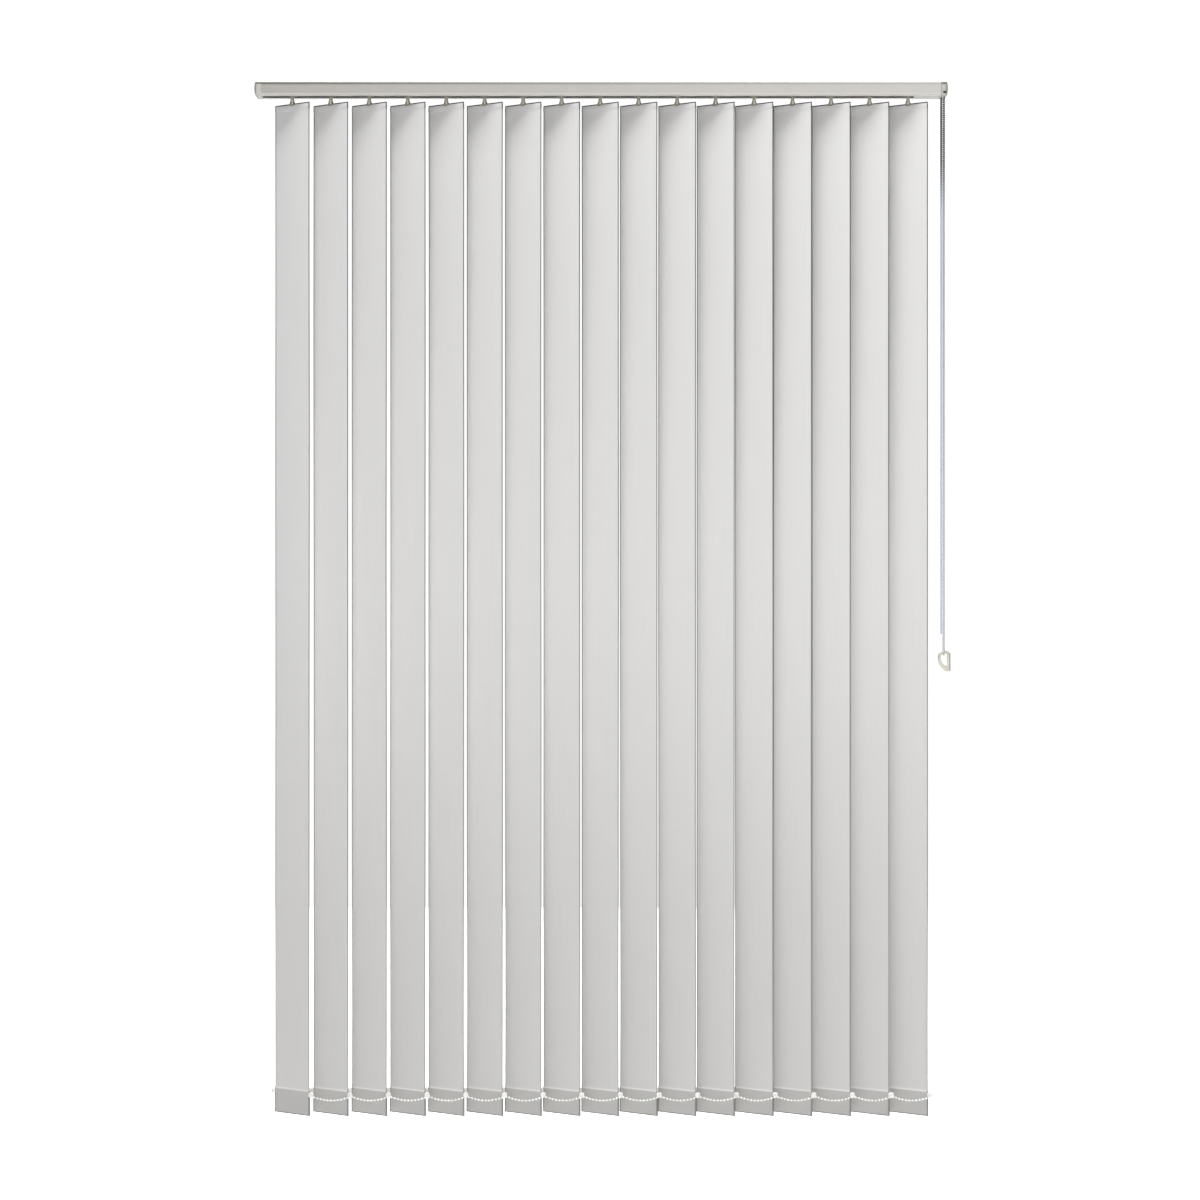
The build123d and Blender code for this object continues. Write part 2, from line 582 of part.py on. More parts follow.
def louvre():
    """The fabric louvre: one strip, welded back on itself into a pocket at each end."""
    half_fabric = FABRIC / 2
    top_inner = (HANGER_THICK + 2 * HANGER_GAP) / 2
    foot_inner = (WEIGHT_THICK + 2 * WEIGHT_GAP) / 2
    top_outer = top_inner + FABRIC
    foot_outer = foot_inner + FABRIC
    weld_z = louvre_top - TOP_POCKET
    side = [(top_outer, louvre_top), (top_outer, weld_z), (half_fabric, weld_z - HEM_TAPER),
            (half_fabric, seam_z + HEM_TAPER), (foot_outer, seam_z), (foot_outer, louvre_foot)]
    mirror = [(-y, z) for y, z in reversed(side)]
    section = make_face(Polyline(*side, *mirror, close=True))
    section -= area(-top_inner, top_inner, weld_z + FABRIC, louvre_top - FABRIC)
    section -= area(-foot_inner, foot_inner, louvre_foot + FABRIC, seam_z - HEM_TAPER + FABRIC)
    cloth = extrude(Plane.YZ * section, LOUVRE_WIDTH / 2, both=True)
    return cloth - rod_y(0, -3, 3, pin_z, PIN_R + PIN_GAP)


def make_louvres():
    turn = Rot(0, 0, -REST_TURN)
    fittings = [turn * piece for piece in (hook(), hanger(), bottom_weight())]
    cloth = turn * louvre()
    for index, x in enumerate(stems):
        save(f"fittings_{index + 1:02d}", *[Pos(x, 0, 0) * piece for piece in fittings])
        save(f"louvre_{index + 1:02d}", Pos(x, 0, 0) * cloth)


# ---------------------------------------------------------------- link chains along the foot
def link_chain(side):
    """The cord of one link chain, sagging from clip to clip; side is 1 front, -1 back."""
    reach_x = side * link_reach * cos(radians(REST_TURN))
    reach_y = -side * link_reach * sin(radians(REST_TURN))
    crest_z = tab_foot - LINK_GAP - LINK_R
    quarter = 0.75 * LINK_SAG
    half_turn = 0.5 * 2 * quarter / (LOUVRE_PITCH / 4)
    crest_cut = 0.45 * (LOUVRE_PITCH / 4) * half_turn / 2
    points = []
    for x in stems[:-1]:
        for share, sag in ((0, 0), (0.25, quarter), (0.5, LINK_SAG), (0.75, quarter)):
            lift = crest_cut if share == 0 and x > stems[0] else 0
            points.append((x + reach_x + share * LOUVRE_PITCH, reach_y, crest_z - sag + lift))
    points.append((last_stem + reach_x, reach_y, crest_z))
    return tube(points, bend_radii(points), LINK_R)


def bend_radii(points):
    """The largest arc at each inner point that leaves a tenth of the shorter run straight."""
    radii = []
    for before, here, after in zip(points, points[1:], points[2:]):
        run_in = Vector(*here) - Vector(*before)
        run_out = Vector(*after) - Vector(*here)
        turn = radians(run_in.get_angle(run_out))
        radii.append(0.45 * min(run_in.length, run_out.length) / tan(turn / 2))
    return radii


def make_link_chains():
    save("front_link_chain", link_chain(1))
    save("rear_link_chain", link_chain(-1))


# ---------------------------------------------------------------- draw cord and tilt chain
def make_draw_cord():
    """One cord from the lead carrier, down at the control end, back and round the far pulley."""
    front, back, z = CORD_FRONT_Y, CORD_BACK_Y, cord_z
    far_x = rail_left - CORD_RETURN_X
    points = [(first_stem + CORD_TIE, front, z), (cord_x, front, z), (cord_x, front, -CORD_DROP),
              (cord_x, back, -CORD_DROP), (cord_x, back, z), (far_x, back, z), (far_x, front, z),
              (first_stem - CORD_TIE, front, z)]
    u_turn = (back - front) / 2 - 0.05
    radii = [CORD_TURN_R, u_turn, u_turn, CORD_TURN_R, u_turn, u_turn]
    print("draw cord bend radii", radii)
    save("draw_cord", tube(points, radii, CORD_R))


def make_control_chain():
    """The endless tilt chain, drawn from the top of its wheel and back to it."""
    front = ROD_Y - CHAIN_TURN_R
    back = ROD_Y + CHAIN_TURN_R
    top = rod_axis_z + CHAIN_TURN_R
    points = [(chain_x, ROD_Y - 0.1, top), (chain_x, front, top), (chain_x, front, -CHAIN_DROP),
              (chain_x, back, -CHAIN_DROP), (chain_x, back, top), (chain_x, ROD_Y + 0.1, top)]
    turn = CHAIN_TURN_R - 0.15
    radii = [turn] * 4
    print("tilt chain bend radii", radii)
    save("control_chain", tube(points, radii, CHAIN_BEAD_R))


# ---------------------------------------------------------------- safety clip
# Its outline is drawn from the point where the chain's lowest bead hangs.
def make_safety_clip():
    eye_top = CHAIN_BEAD_R + SAFETY_EYE_GAP
    base = SAFETY_BASE
    outline = Polyline((8.0, 7.8), (-2.4, 7.8))
    outline += ThreePointArc((-2.4, 7.8), (-9.4, 4.4), (-11.8, -3.4))
    outline += ThreePointArc((-11.8, -3.4), (-8.4, -20.4), (5.0, -34.8))
    outline += Polyline((5.0, -34.8), (base, -34.8), (base, 4.2))
    outline += ThreePointArc((base, 4.2), (10.6, 6.8), (8.0, 7.8))
    at_chain = Plane(origin=(chain_x, ROD_Y, -CHAIN_DROP), x_dir=(1, 0, 0), z_dir=(0, -1, 0))
    body = extrude(at_chain * make_face(outline), SAFETY_THICK / 2, both=True)
    eye = make_face(Polyline((7.0, eye_top), (-2.2, eye_top), (-6.6, -2.6), (-6.4, -9.8),
                             (-2.2, -18.2), (2.6, -21.4), (7.0, -21.4), close=True))
    eye = fillet(eye.vertices(), 2.0)
    hole = extrude(at_chain * eye, SAFETY_THICK, both=True)
    body = fillet(body.edges().filter_by(Plane.XZ), SAFETY_EDGE) - hole
    rims = [edge for edge in body.edges() if edge.length < 30 and on_eye_rim(edge)]
    body = fillet(rims, SAFETY_ROUND)
    screw_z = -CHAIN_DROP - SAFETY_SCREW_DROP
    pad_x = chain_x + base
    pad_front = ROD_Y - SAFETY_PAD_HALF
    pad_back = ROD_Y + SAFETY_PAD_HALF
    pad_foot = SAFETY_PAD_FOOT - CHAIN_DROP
    pad_top = SAFETY_PAD_TOP - CHAIN_DROP
    pad = block(pad_x, pad_x + SAFETY_PAD, pad_front, pad_back, pad_foot, pad_top)
    for r, x0, x1 in ((SAFETY_SCREW_R, chain_x, pad_x + 9), (SAFETY_ACCESS_R, chain_x - 20, chain_x)):
        body -= rod_x(x0, x1, ROD_Y, screw_z, r)
        pad -= rod_x(x0, x1, ROD_Y, screw_z, r)
    save("safety_clip", body, pad)


def on_eye_rim(edge):
    """True for an edge of the eye's mouth, on the clip's front or back face."""
    middle = edge @ 0.5
    on_face = abs(abs(middle.Y - ROD_Y) - SAFETY_THICK / 2) < 0.01
    inside_x = -7.2 < middle.X - chain_x < 7.2
    return on_face and inside_x and -22 < middle.Z + CHAIN_DROP < 2.6


os.makedirs("parts", exist_ok=True)
make_headrail()
make_ceiling_clips()
make_end_caps()
make_tilt_rod()
make_carriers()
make_louvres()
make_link_chains()
make_draw_cord()
make_control_chain()
make_safety_clip()
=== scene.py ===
"""Vertical louvre blind: louvres, link chains, draw cord, tilt chain, finishes and studio.

Frame: X runs along the headrail towards the controls, -Y faces the room, +Z is up, in metres.
The origin is on the ceiling plane, over the middle of the headrail.
"""

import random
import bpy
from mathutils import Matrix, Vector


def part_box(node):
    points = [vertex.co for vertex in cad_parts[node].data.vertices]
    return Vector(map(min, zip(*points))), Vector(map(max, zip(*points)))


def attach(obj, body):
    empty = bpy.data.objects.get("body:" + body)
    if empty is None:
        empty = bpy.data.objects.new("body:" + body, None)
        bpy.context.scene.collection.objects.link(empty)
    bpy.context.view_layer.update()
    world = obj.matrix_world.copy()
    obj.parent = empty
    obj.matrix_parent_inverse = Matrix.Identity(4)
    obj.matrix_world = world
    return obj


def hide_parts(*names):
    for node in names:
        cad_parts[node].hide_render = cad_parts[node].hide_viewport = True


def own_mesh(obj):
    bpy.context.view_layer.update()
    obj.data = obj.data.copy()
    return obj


bl_info = {
    "name": "Vertical Louvre Blind",
    "version": (1, 0, 0),
    "blender": (4, 5, 0),
    "location": "View3D > Sidebar > Blind",
    "description": "Makes the louvres, chains, cords and finishes of a vertical blind",
    "category": "Object",
}

from math import cos, hypot, pi, radians, sin, sqrt

import bpy
import numpy as np
from bpy.props import FloatProperty, FloatVectorProperty, IntProperty, PointerProperty

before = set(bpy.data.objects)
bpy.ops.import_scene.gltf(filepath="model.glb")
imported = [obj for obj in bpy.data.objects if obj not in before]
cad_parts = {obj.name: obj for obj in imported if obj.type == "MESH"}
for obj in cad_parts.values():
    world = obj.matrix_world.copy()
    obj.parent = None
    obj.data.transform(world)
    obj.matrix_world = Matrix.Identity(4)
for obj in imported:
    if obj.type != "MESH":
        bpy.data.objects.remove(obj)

MM = 0.001

# ---------------------------------------------------------------- places taken from the frame
LOUVRES = sorted(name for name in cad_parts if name.startswith("louvre_"))
STEMS = [sum(corner.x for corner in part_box(name)) / 2 for name in LOUVRES]
PITCH = (STEMS[-1] - STEMS[0]) / (len(STEMS) - 1)
LOUVRE_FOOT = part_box(LOUVRES[0])[0].z
LOUVRE_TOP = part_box(LOUVRES[0])[1].z
RAIL_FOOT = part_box("headrail")[0].z
RAIL_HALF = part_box("headrail")[1].y
RAIL_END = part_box("headrail")[1].x
TURN = radians(30.8)          # how far the louvres stand open at rest
FLOOR_Z = -2.45
ACROSS = np.array((cos(TURN), -sin(TURN), 0.0))     # along a louvre's width
THROUGH = np.array((sin(TURN), cos(TURN), 0.0))     # through its cloth, away from the room

# ---------------------------------------------------------------- cord routes
# Control points in millimetres. The points 12 mm from a corner keep the long runs straight.
DRAW_CORD_R = 0.95
DRAW_CORD_ROUTE = [
    (-640, 2, -7), (696, 2, -7), (708, 2, -7), (708, 2, -19),
    (708, 2, -1132), (708, 2, -1144), (708, 14, -1144), (708, 14, -1132),
    (708, 14, -19), (708, 14, -7), (696, 14, -7),
    (-694, 14, -7), (-706, 14, -7), (-706, 2, -7), (-694, 2, -7), (-644, 2, -7),
]
TILT_CHAIN_ROUTE = [
    (713.4, 8.5, -5), (713.4, -0.4, -5), (713.4, -0.4, -18),
    (713.4, -0.4, -1174), (713.4, -0.4, -1186.6), (713.4, 17.6, -1186.6), (713.4, 17.6, -1174),
    (713.4, 17.6, -18), (713.4, 17.6, -5), (713.4, 8.7, -5),
]
LINK_REACH = 52.0             # stem to a link chain, along the louvre
LINK_CREST = -2100.6
LINK_CREST_LIFT = 1.35
LINK_SAGS = ((0, 0), (0.25, 6), (0.5, 8), (0.75, 6))


def linear(code):
    """An sRGB hex colour as linear red, green and blue."""
    values = [int(code[i:i + 2], 16) / 255 for i in (1, 3, 5)]
    return tuple(v / 12.92 if v <= 0.04045 else ((v + 0.055) / 1.055) ** 2.4 for v in values)


def rgba(colour):
    """A colour property or hex code as the four numbers that a shader socket takes."""
    return (*(linear(colour) if isinstance(colour, str) else colour), 1.0)


# ---------------------------------------------------------------- settings
class BLIND_PG_sizes(bpy.types.PropertyGroup):
    """Sizes of the parts that are modelled here."""

    louvre_width: FloatProperty(
        name="Louvre width", description="Width of a louvre's strip of cloth",
        default=0.089, unit="LENGTH")
    cloth: FloatProperty(
        name="Cloth", description="Thickness of the louvre cloth", default=0.0004, unit="LENGTH")
    top_pocket: FloatProperty(
        name="Top pocket", description="Height of the pocket that holds the hanger",
        default=0.013, unit="LENGTH")
    bottom_pocket: FloatProperty(
        name="Bottom pocket", description="Height of the pocket that holds the weight",
        default=0.050, unit="LENGTH")
    bow: FloatProperty(
        name="Bow", description="How far the middle of a louvre bows out towards the room",
        default=0.0016, unit="LENGTH")
    ripple: FloatProperty(
        name="Ripple", description="Height of the slow ripples down a louvre",
        default=0.0005, unit="LENGTH")
    edge_band: FloatProperty(
        name="Edge band", description="Width of the darker heat-cut edge of a louvre",
        default=0.0023, unit="LENGTH")
    thread: FloatProperty(
        name="Thread spacing", description="Spacing of the threads in the weave",
        default=0.0009, unit="LENGTH")
    link_bead: FloatProperty(
        name="Link bead", description="Diameter of the link chains' beads",
        default=0.0042, unit="LENGTH")
    link_spacing: FloatProperty(
        name="Link spacing", description="Middle to middle of the link chains' beads",
        default=0.0071, unit="LENGTH")
    tilt_bead: FloatProperty(
        name="Tilt bead", description="Diameter of the tilt chain's beads",
        default=0.0033, unit="LENGTH")
    tilt_spacing: FloatProperty(
        name="Tilt spacing", description="Middle to middle of the tilt chain's beads",
        default=0.0045, unit="LENGTH")
    seed: IntProperty(
        name="Seed", description="Start of the louvres' small random ripples", default=17)


class BLIND_PG_colours(bpy.types.PropertyGroup):
    """Colours of the finishes."""

    cloth: FloatVectorProperty(
        name="Cloth", description="Louvre cloth", subtype="COLOR", default=linear("#E0DFDD"))
    # Colour of the darker band painted along the louvres' side edges.
    cloth_edge: FloatVectorProperty(
        name="Cloth edge", description="Heat-cut edges of the cloth", subtype="COLOR",
        default=linear("#545457"))
    rail: FloatVectorProperty(
        name="Rail", description="Powder coat of the headrail", subtype="COLOR",
        default=linear("#ADAAA3"))
    caps: FloatVectorProperty(
        name="Caps", description="Moulded end caps", subtype="COLOR", default=linear("#BDBBB3"))
    hooks: FloatVectorProperty(
        name="Hooks", description="Moulded louvre hooks", subtype="COLOR",
        default=linear("#8F8D73"))
    clips: FloatVectorProperty(
        name="Clips", description="White clips, weights and link beads", subtype="COLOR",
        default=linear("#FCFCFA"))
    cord_dark: FloatVectorProperty(
        name="Cord, upper", description="Draw cord near the headrail", subtype="COLOR",
        default=linear("#161B30"))
    cord_pale: FloatVectorProperty(
        name="Cord, lower", description="Draw cord along the rest of its drop", subtype="COLOR",
        default=linear("#BFC8D8"))
    chain_dark: FloatVectorProperty(
        name="Tilt chain, upper", description="Tilt chain near the headrail", subtype="COLOR",
        default=linear("#1C202C"))
    chain_pale: FloatVectorProperty(
        name="Tilt chain, lower", description="Tilt chain along the rest of its drop",
        subtype="COLOR", default=linear("#AFB7C1"))


# ---------------------------------------------------------------- shared makers
def add(tree, kind, inputs=(), **settings):
    """Add a node to a tree, with its settings, its socket values and the sockets it is fed by."""
    made = tree.nodes.new(kind)
    for name, value in settings.items():
        setattr(made, name, value)
    for socket, value in dict(inputs).items():
        if isinstance(value, bpy.types.NodeSocket):
            tree.links.new(value, made.inputs[socket])
        else:
            made.inputs[socket].default_value = value
    return made


def new_finish(name, **values):
    """A material and its shader, with the shader's own sockets set."""
    material = bpy.data.materials.new(name)
    material.use_nodes = True
    shader = material.node_tree.nodes["Principled BSDF"]
    for socket, value in values.items():
        shader.inputs[socket.replace("_", " ")].default_value = value
    return material, material.node_tree, shader


def new_piece(name, points, faces, material, smooth=True):
    """A mesh object from points in metres, with one material."""
    mesh = bpy.data.meshes.new(name)
    mesh.from_pydata([tuple(p) for p in points], [], faces)
    mesh.validate()
    mesh.polygons.foreach_set("use_smooth", [smooth] * len(mesh.polygons))
    mesh.materials.append(material)
    piece = bpy.data.objects.new(name, mesh)
    bpy.context.scene.collection.objects.link(piece)
    return piece


def refinish(node, material):
    """Give a node of the frame its real finish."""
    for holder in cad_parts[node].material_slots:
        holder.material = material


def new_route(name, route, radius=0.0):
    """A smooth cord line through control points given in millimetres."""
    curve = bpy.data.curves.new(name, "CURVE")
    curve.dimensions = "3D"
    curve.resolution_u = 16
    spline = curve.splines.new("NURBS")
    spline.points.add(len(route) - 1)
    for point, place in zip(spline.points, route):
        point.co = (*(x * MM for x in place), 1.0)
    spline.order_u = 3
    spline.use_endpoint_u = True
    curve.bevel_depth = radius
    curve.bevel_resolution = 3
    return bpy.data.objects.new(name, curve)


def read_route(route):
    """Points along the cord line that a route's spline makes."""
    line = new_route("route", route)
    mesh = bpy.data.meshes.new_from_object(line)
    points = np.array([v.co[:] for v in mesh.vertices])
    bpy.data.objects.remove(line)
    bpy.data.meshes.remove(mesh)
    return points


def along(points, spacing):
    """Evenly spaced places along a line, from half a space after its start."""
    steps = np.linalg.norm(np.diff(points, axis=0), axis=1)
    reached = np.concatenate(((0,), np.cumsum(steps)))
    count = int(reached[-1] / spacing)
    slack = (reached[-1] - (count - 1) * spacing) / 2
    wanted = slack + spacing * np.arange(count)
    return np.stack([np.interp(wanted, reached, points[:, i]) for i in range(3)], axis=1)


def ball(radius, sides=10, rings=5):
    """A round bead's points and faces, with its poles on Z."""
    points = [(0, 0, radius)]
    for ring in range(1, rings + 1):
        lean = pi * ring / (rings + 1)
        for side in range(sides):
            turn = 2 * pi * side / sides
            points.append((radius * sin(lean) * cos(turn), radius * sin(lean) * sin(turn),
                           radius * cos(lean)))
    points.append((0, 0, -radius))
    last = len(points) - 1
    faces = []
    for side in range(sides):
        beside = (side + 1) % sides
        faces.append((0, 1 + side, 1 + beside))
        for ring in range(rings - 1):
            a, b = 1 + ring * sides, 1 + (ring + 1) * sides
            faces.append((a + side, b + side, b + beside, a + beside))
        foot = 1 + (rings - 1) * sides
        faces.append((last, foot + beside, foot + side))
    return np.array(points), faces


def string_of_beads(line, bead, spacing, string_r, side):
    """Beads threaded on a thin string; side is a direction across the whole line."""
    template, template_faces = ball(bead / 2)
    points, faces = [], []
    for place in along(line, spacing):
        start = len(points)
        points.extend(template + place)
        faces.extend(tuple(start + i for i in face) for face in template_faces)
    run = along(line, spacing / 2)
    ahead = np.gradient(run, axis=0)
    ahead /= np.linalg.norm(ahead, axis=1)[:, None]
    up = np.cross(ahead, side)
    sides = 6
    start = len(points)
    for place, lift in zip(run, up):
        for corner in range(sides):
            turn = 2 * pi * corner / sides
            points.append(place + string_r * (cos(turn) * np.array(side) + sin(turn) * lift))
    for ring in range(len(run) - 1):
        for corner in range(sides):
            a = start + ring * sides
            beside = (corner + 1) % sides
            faces.append((a + corner, a + beside, a + sides + beside, a + sides + corner))
    faces.append(tuple(start + i for i in reversed(range(sides))))
    end = start + (len(run) - 1) * sides
    faces.append(tuple(end + i for i in range(sides)))
    return points, faces


# ---------------------------------------------------------------- finishes
def woven_cloth(sizes, colours):
    """Polyester, woven plain, stiffened and heat-cut: matt, a fine even thread grain, slightly
    uneven yarns as faint streaks down the strip, and side edges painted darker."""
    material, tree, shader = new_finish(
        "polyester_woven_stiffened", Roughness=0.9, Sheen_Weight=0.08, Sheen_Roughness=0.6)
    cloth = add(tree, "ShaderNodeUVMap", uv_map="cloth")
    strip = add(tree, "ShaderNodeSeparateXYZ", {0: cloth.outputs[0]})
    place = add(tree, "ShaderNodeTexCoord")
    height = add(tree, "ShaderNodeSeparateXYZ", {0: place.outputs["Object"]})
    # Yarns differ a little, so streaks about 4 mm wide run down the strip.
    stretched = add(tree, "ShaderNodeMapping", {0: cloth.outputs[0], 3: (1.0, 0.02, 1.0)})
    streaks = add(tree, "ShaderNodeTexNoise", {0: stretched.outputs[0], "Scale": 250.0,
                                               "Detail": 3.0})
    uneven = add(tree, "ShaderNodeMapRange", {0: streaks.outputs[0], 1: 0.3, 2: 0.7,
                                              3: 0.98, 4: 1.0})
    # The strip is painted darker towards its foot: painted shade, where less light reaches it.
    grey = add(tree, "ShaderNodeMapRange", {0: height.outputs[2], 1: -0.9, 2: -2.1,
                                            3: 0.0, 4: 0.3}, interpolation_type="SMOOTHSTEP")
    foot_shaded = add(tree, "ShaderNodeMix", {0: grey.outputs[0], 6: rgba(colours.cloth),
                                       7: rgba("#918F8B")}, data_type="RGBA")
    base = add(tree, "ShaderNodeMix", {0: 1.0, 6: foot_shaded.outputs[2], 7: uneven.outputs[0]},
               data_type="RGBA", blend_type="MULTIPLY")
    # Two layers and the weight behind them let less light through the bottom pocket, so that
    # shade is painted in as a darker colour.
    pocket = add(tree, "ShaderNodeMapRange", {
        0: height.outputs[2], 1: LOUVRE_FOOT + sizes.bottom_pocket + MM,
        2: LOUVRE_FOOT + sizes.bottom_pocket - MM, 3: 0.0, 4: 0.34})
    pocket_shaded = add(tree, "ShaderNodeMix", {0: pocket.outputs[0], 6: base.outputs[2],
                                         7: rgba("#777570")}, data_type="RGBA")
    # The weld is a flat band with a painted highlight: a little paler than the weave.
    weld = add(tree, "ShaderNodeMath", {0: height.outputs[2],
                                        1: LOUVRE_FOOT + sizes.bottom_pocket + 1.5 * MM,
                                        2: 1.8 * MM}, operation="COMPARE")
    shine = add(tree, "ShaderNodeMath", {0: weld.outputs[0], 1: 0.3}, operation="MULTIPLY")
    weld_highlighted = add(tree, "ShaderNodeMix", {0: shine.outputs[0], 6: pocket_shaded.outputs[2],
                                         7: rgba("#ECEBE9")}, data_type="RGBA")
    # A darker band is painted along the side edges.
    half = sizes.louvre_width / 2
    side = add(tree, "ShaderNodeMath", {0: strip.outputs[0]}, operation="ABSOLUTE")
    cut = add(tree, "ShaderNodeMapRange", {0: side.outputs[0], 1: half - sizes.edge_band,
                                           2: half - 0.7 * sizes.edge_band, 3: 0.0, 4: 1.0})
    # The dark band along the side edges is made fainter towards the foot.
    lower = add(tree, "ShaderNodeMapRange", {0: height.outputs[2], 1: -0.3, 2: -2.1,
                                             3: 1.0, 4: 0.55})
    dark_edge_share = add(tree, "ShaderNodeMath", {0: cut.outputs[0], 1: lower.outputs[0]},
                   operation="MULTIPLY")
    edged = add(tree, "ShaderNodeMix", {0: dark_edge_share.outputs[0], 6: weld_highlighted.outputs[2],
                                        7: rgba(colours.cloth_edge)}, data_type="RGBA")
    # Painted shade: a dark band along the top of the fold.
    fold_shade = add(tree, "ShaderNodeMapRange", {0: height.outputs[2], 1: LOUVRE_TOP - 2.7 * MM,
                                            2: LOUVRE_TOP - 2.2 * MM, 3: 0.0, 4: 1.0})
    folded = add(tree, "ShaderNodeMix", {0: fold_shade.outputs[0], 6: edged.outputs[2],
                                         7: rgba("#39393B")}, data_type="RGBA")
    hem = add(tree, "ShaderNodeMapRange", {0: height.outputs[2], 1: LOUVRE_FOOT + 2.4 * MM,
                                           2: LOUVRE_FOOT + 1.9 * MM, 3: 0.0, 4: 1.0})
    hemmed = add(tree, "ShaderNodeMix", {0: hem.outputs[0], 6: folded.outputs[2],
                                         7: rgba("#6E6C64")}, data_type="RGBA")
    tree.links.new(hemmed.outputs[2], shader.inputs["Base Color"])
    # A wave of the given scale repeats every 0.314 / scale metres.
    warp = add(tree, "ShaderNodeTexWave", {0: cloth.outputs[0], "Scale": 0.314 / sizes.thread},
               bands_direction="X")
    weft = add(tree, "ShaderNodeTexWave", {0: cloth.outputs[0], "Scale": 0.314 / sizes.thread},
               bands_direction="Y")
    weave = add(tree, "ShaderNodeMath", {0: warp.outputs[1], 1: weft.outputs[1]},
                operation="MULTIPLY")
    relief = add(tree, "ShaderNodeBump", {"Strength": 0.25, "Distance": 0.0001,
                                          "Height": weave.outputs[0]})
    tree.links.new(relief.outputs[0], shader.inputs["Normal"])
    return material


def top_edge_shade(tree, axes, depth, low, high):
    """How much a place is on the rail's long top edges, where painted shade darkens it."""
    rise = add(tree, "ShaderNodeMapRange", {0: axes.outputs[2], 1: low, 2: high,
                                            3: 0.0, 4: 1.0})
    outer = add(tree, "ShaderNodeMapRange", {0: depth.outputs[0], 1: RAIL_HALF - 2.6 * MM,
                                             2: RAIL_HALF - 1.6 * MM, 3: 0.0, 4: 1.0})
    return add(tree, "ShaderNodeMath", {0: rise.outputs[0], 1: outer.outputs[0]},
               operation="MULTIPLY")


def powder_coat(colours):
    """Aluminium, extruded and powder coated: satin, with a fine orange-peel ripple about 2 mm
    across, and painted shade, dark and greenish, along the long top edges."""
    material, tree, shader = new_finish(
        "aluminium_extruded_powder_coated", Roughness=0.42, Coat_Weight=0.15,
        Coat_Roughness=0.3)
    place = add(tree, "ShaderNodeTexCoord")
    axes = add(tree, "ShaderNodeSeparateXYZ", {0: place.outputs["Object"]})
    depth = add(tree, "ShaderNodeMath", {0: axes.outputs[1]}, operation="ABSOLUTE")
    # Painted shade along the long top edges.
    top_shade = top_edge_shade(tree, axes, depth, -6.5 * MM, -3.5 * MM)
    face = add(tree, "ShaderNodeMix", {0: top_shade.outputs[0], 6: rgba(colours.rail),
                                       7: rgba("#62665B")}, data_type="RGBA")
    # Painted highlight: the foot of the rail's face is painted paler.
    lip = add(tree, "ShaderNodeMapRange", {0: axes.outputs[2], 1: RAIL_FOOT + 4.5 * MM,
                                           2: RAIL_FOOT + 3.0 * MM, 3: 0.0, 4: 0.5})
    lip_highlighted = add(tree, "ShaderNodeMix", {0: lip.outputs[0], 6: face.outputs[2],
                                         7: rgba("#DEDBD5")}, data_type="RGBA")
    # The rail is made a little paler towards the control end.
    length = add(tree, "ShaderNodeMapRange", {0: axes.outputs[0], 1: -0.7, 2: 0.7,
                                              3: 0.0, 4: 0.6})
    along_rail = add(tree, "ShaderNodeMix", {0: length.outputs[0], 6: lip_highlighted.outputs[2],
                                             7: rgba("#E2DFD9")}, data_type="RGBA")
    # Painted shade: inside the rail the colour is near black, so the slot looks dark.
    within = add(tree, "ShaderNodeMath", {0: depth.outputs[0], 1: RAIL_HALF - 0.7 * MM},
                 operation="LESS_THAN")
    hollow = (RAIL_FOOT + 0.3 * MM, -3.2 * MM)
    level = add(tree, "ShaderNodeMath", {0: axes.outputs[2], 1: sum(hollow) / 2,
                                         2: (hollow[1] - hollow[0]) / 2}, operation="COMPARE")
    inside = add(tree, "ShaderNodeMath", {0: within.outputs[0], 1: level.outputs[0]},
                 operation="MULTIPLY")
    slot_shaded = add(tree, "ShaderNodeMix", {0: inside.outputs[0], 6: along_rail.outputs[2],
                                        7: rgba("#151310")}, data_type="RGBA")
    mottle = add(tree, "ShaderNodeTexNoise", {0: place.outputs["Object"], "Scale": 60.0,
                                              "Detail": 4.0})
    cloud = add(tree, "ShaderNodeMapRange", {0: mottle.outputs[0], 1: 0.3, 2: 0.7,
                                             3: 0.97, 4: 1.0})
    tinted = add(tree, "ShaderNodeMix", {0: 1.0, 6: slot_shaded.outputs[2], 7: cloud.outputs[0]},
                 data_type="RGBA", blend_type="MULTIPLY")
    tree.links.new(tinted.outputs[2], shader.inputs["Base Color"])
    peel = add(tree, "ShaderNodeTexNoise", {0: place.outputs["Object"], "Scale": 500.0,
                                            "Detail": 1.0})
    relief = add(tree, "ShaderNodeBump", {"Strength": 0.15, "Distance": 0.0002,
                                          "Height": peel.outputs[0]})
    tree.links.new(relief.outputs[0], shader.inputs["Normal"])
    return material


def moulded(name, colour, roughness, grain, other=None, spread=1.0):
    """A moulded plastic: even colour with a faint second tone from flow in the mould, and a
    fine spark-eroded grain, its size in metres, that breaks up the highlight."""
    material, tree, shader = new_finish(name, Roughness=roughness, IOR=1.49)
    place = add(tree, "ShaderNodeTexCoord")
    flow = add(tree, "ShaderNodeTexNoise", {0: place.outputs["Object"], "Scale": 90.0,
                                            "Detail": 2.0})
    share = add(tree, "ShaderNodeMapRange", {0: flow.outputs[0], 1: 0.35, 2: 0.65,
                                             3: 0.0, 4: spread})
    toned = add(tree, "ShaderNodeMix", {0: share.outputs[0], 6: rgba(colour),
                                        7: rgba(other or colour)}, data_type="RGBA")
    tree.links.new(toned.outputs[2], shader.inputs["Base Color"])
    pits = add(tree, "ShaderNodeTexNoise", {0: place.outputs["Object"], "Scale": 1.0 / grain,
                                            "Detail": 1.0})
    relief = add(tree, "ShaderNodeBump", {"Strength": 0.12, "Distance": 0.0001,
                                          "Height": pits.outputs[0]})
    tree.links.new(relief.outputs[0], shader.inputs["Normal"])
    return material, tree, shader, place, toned


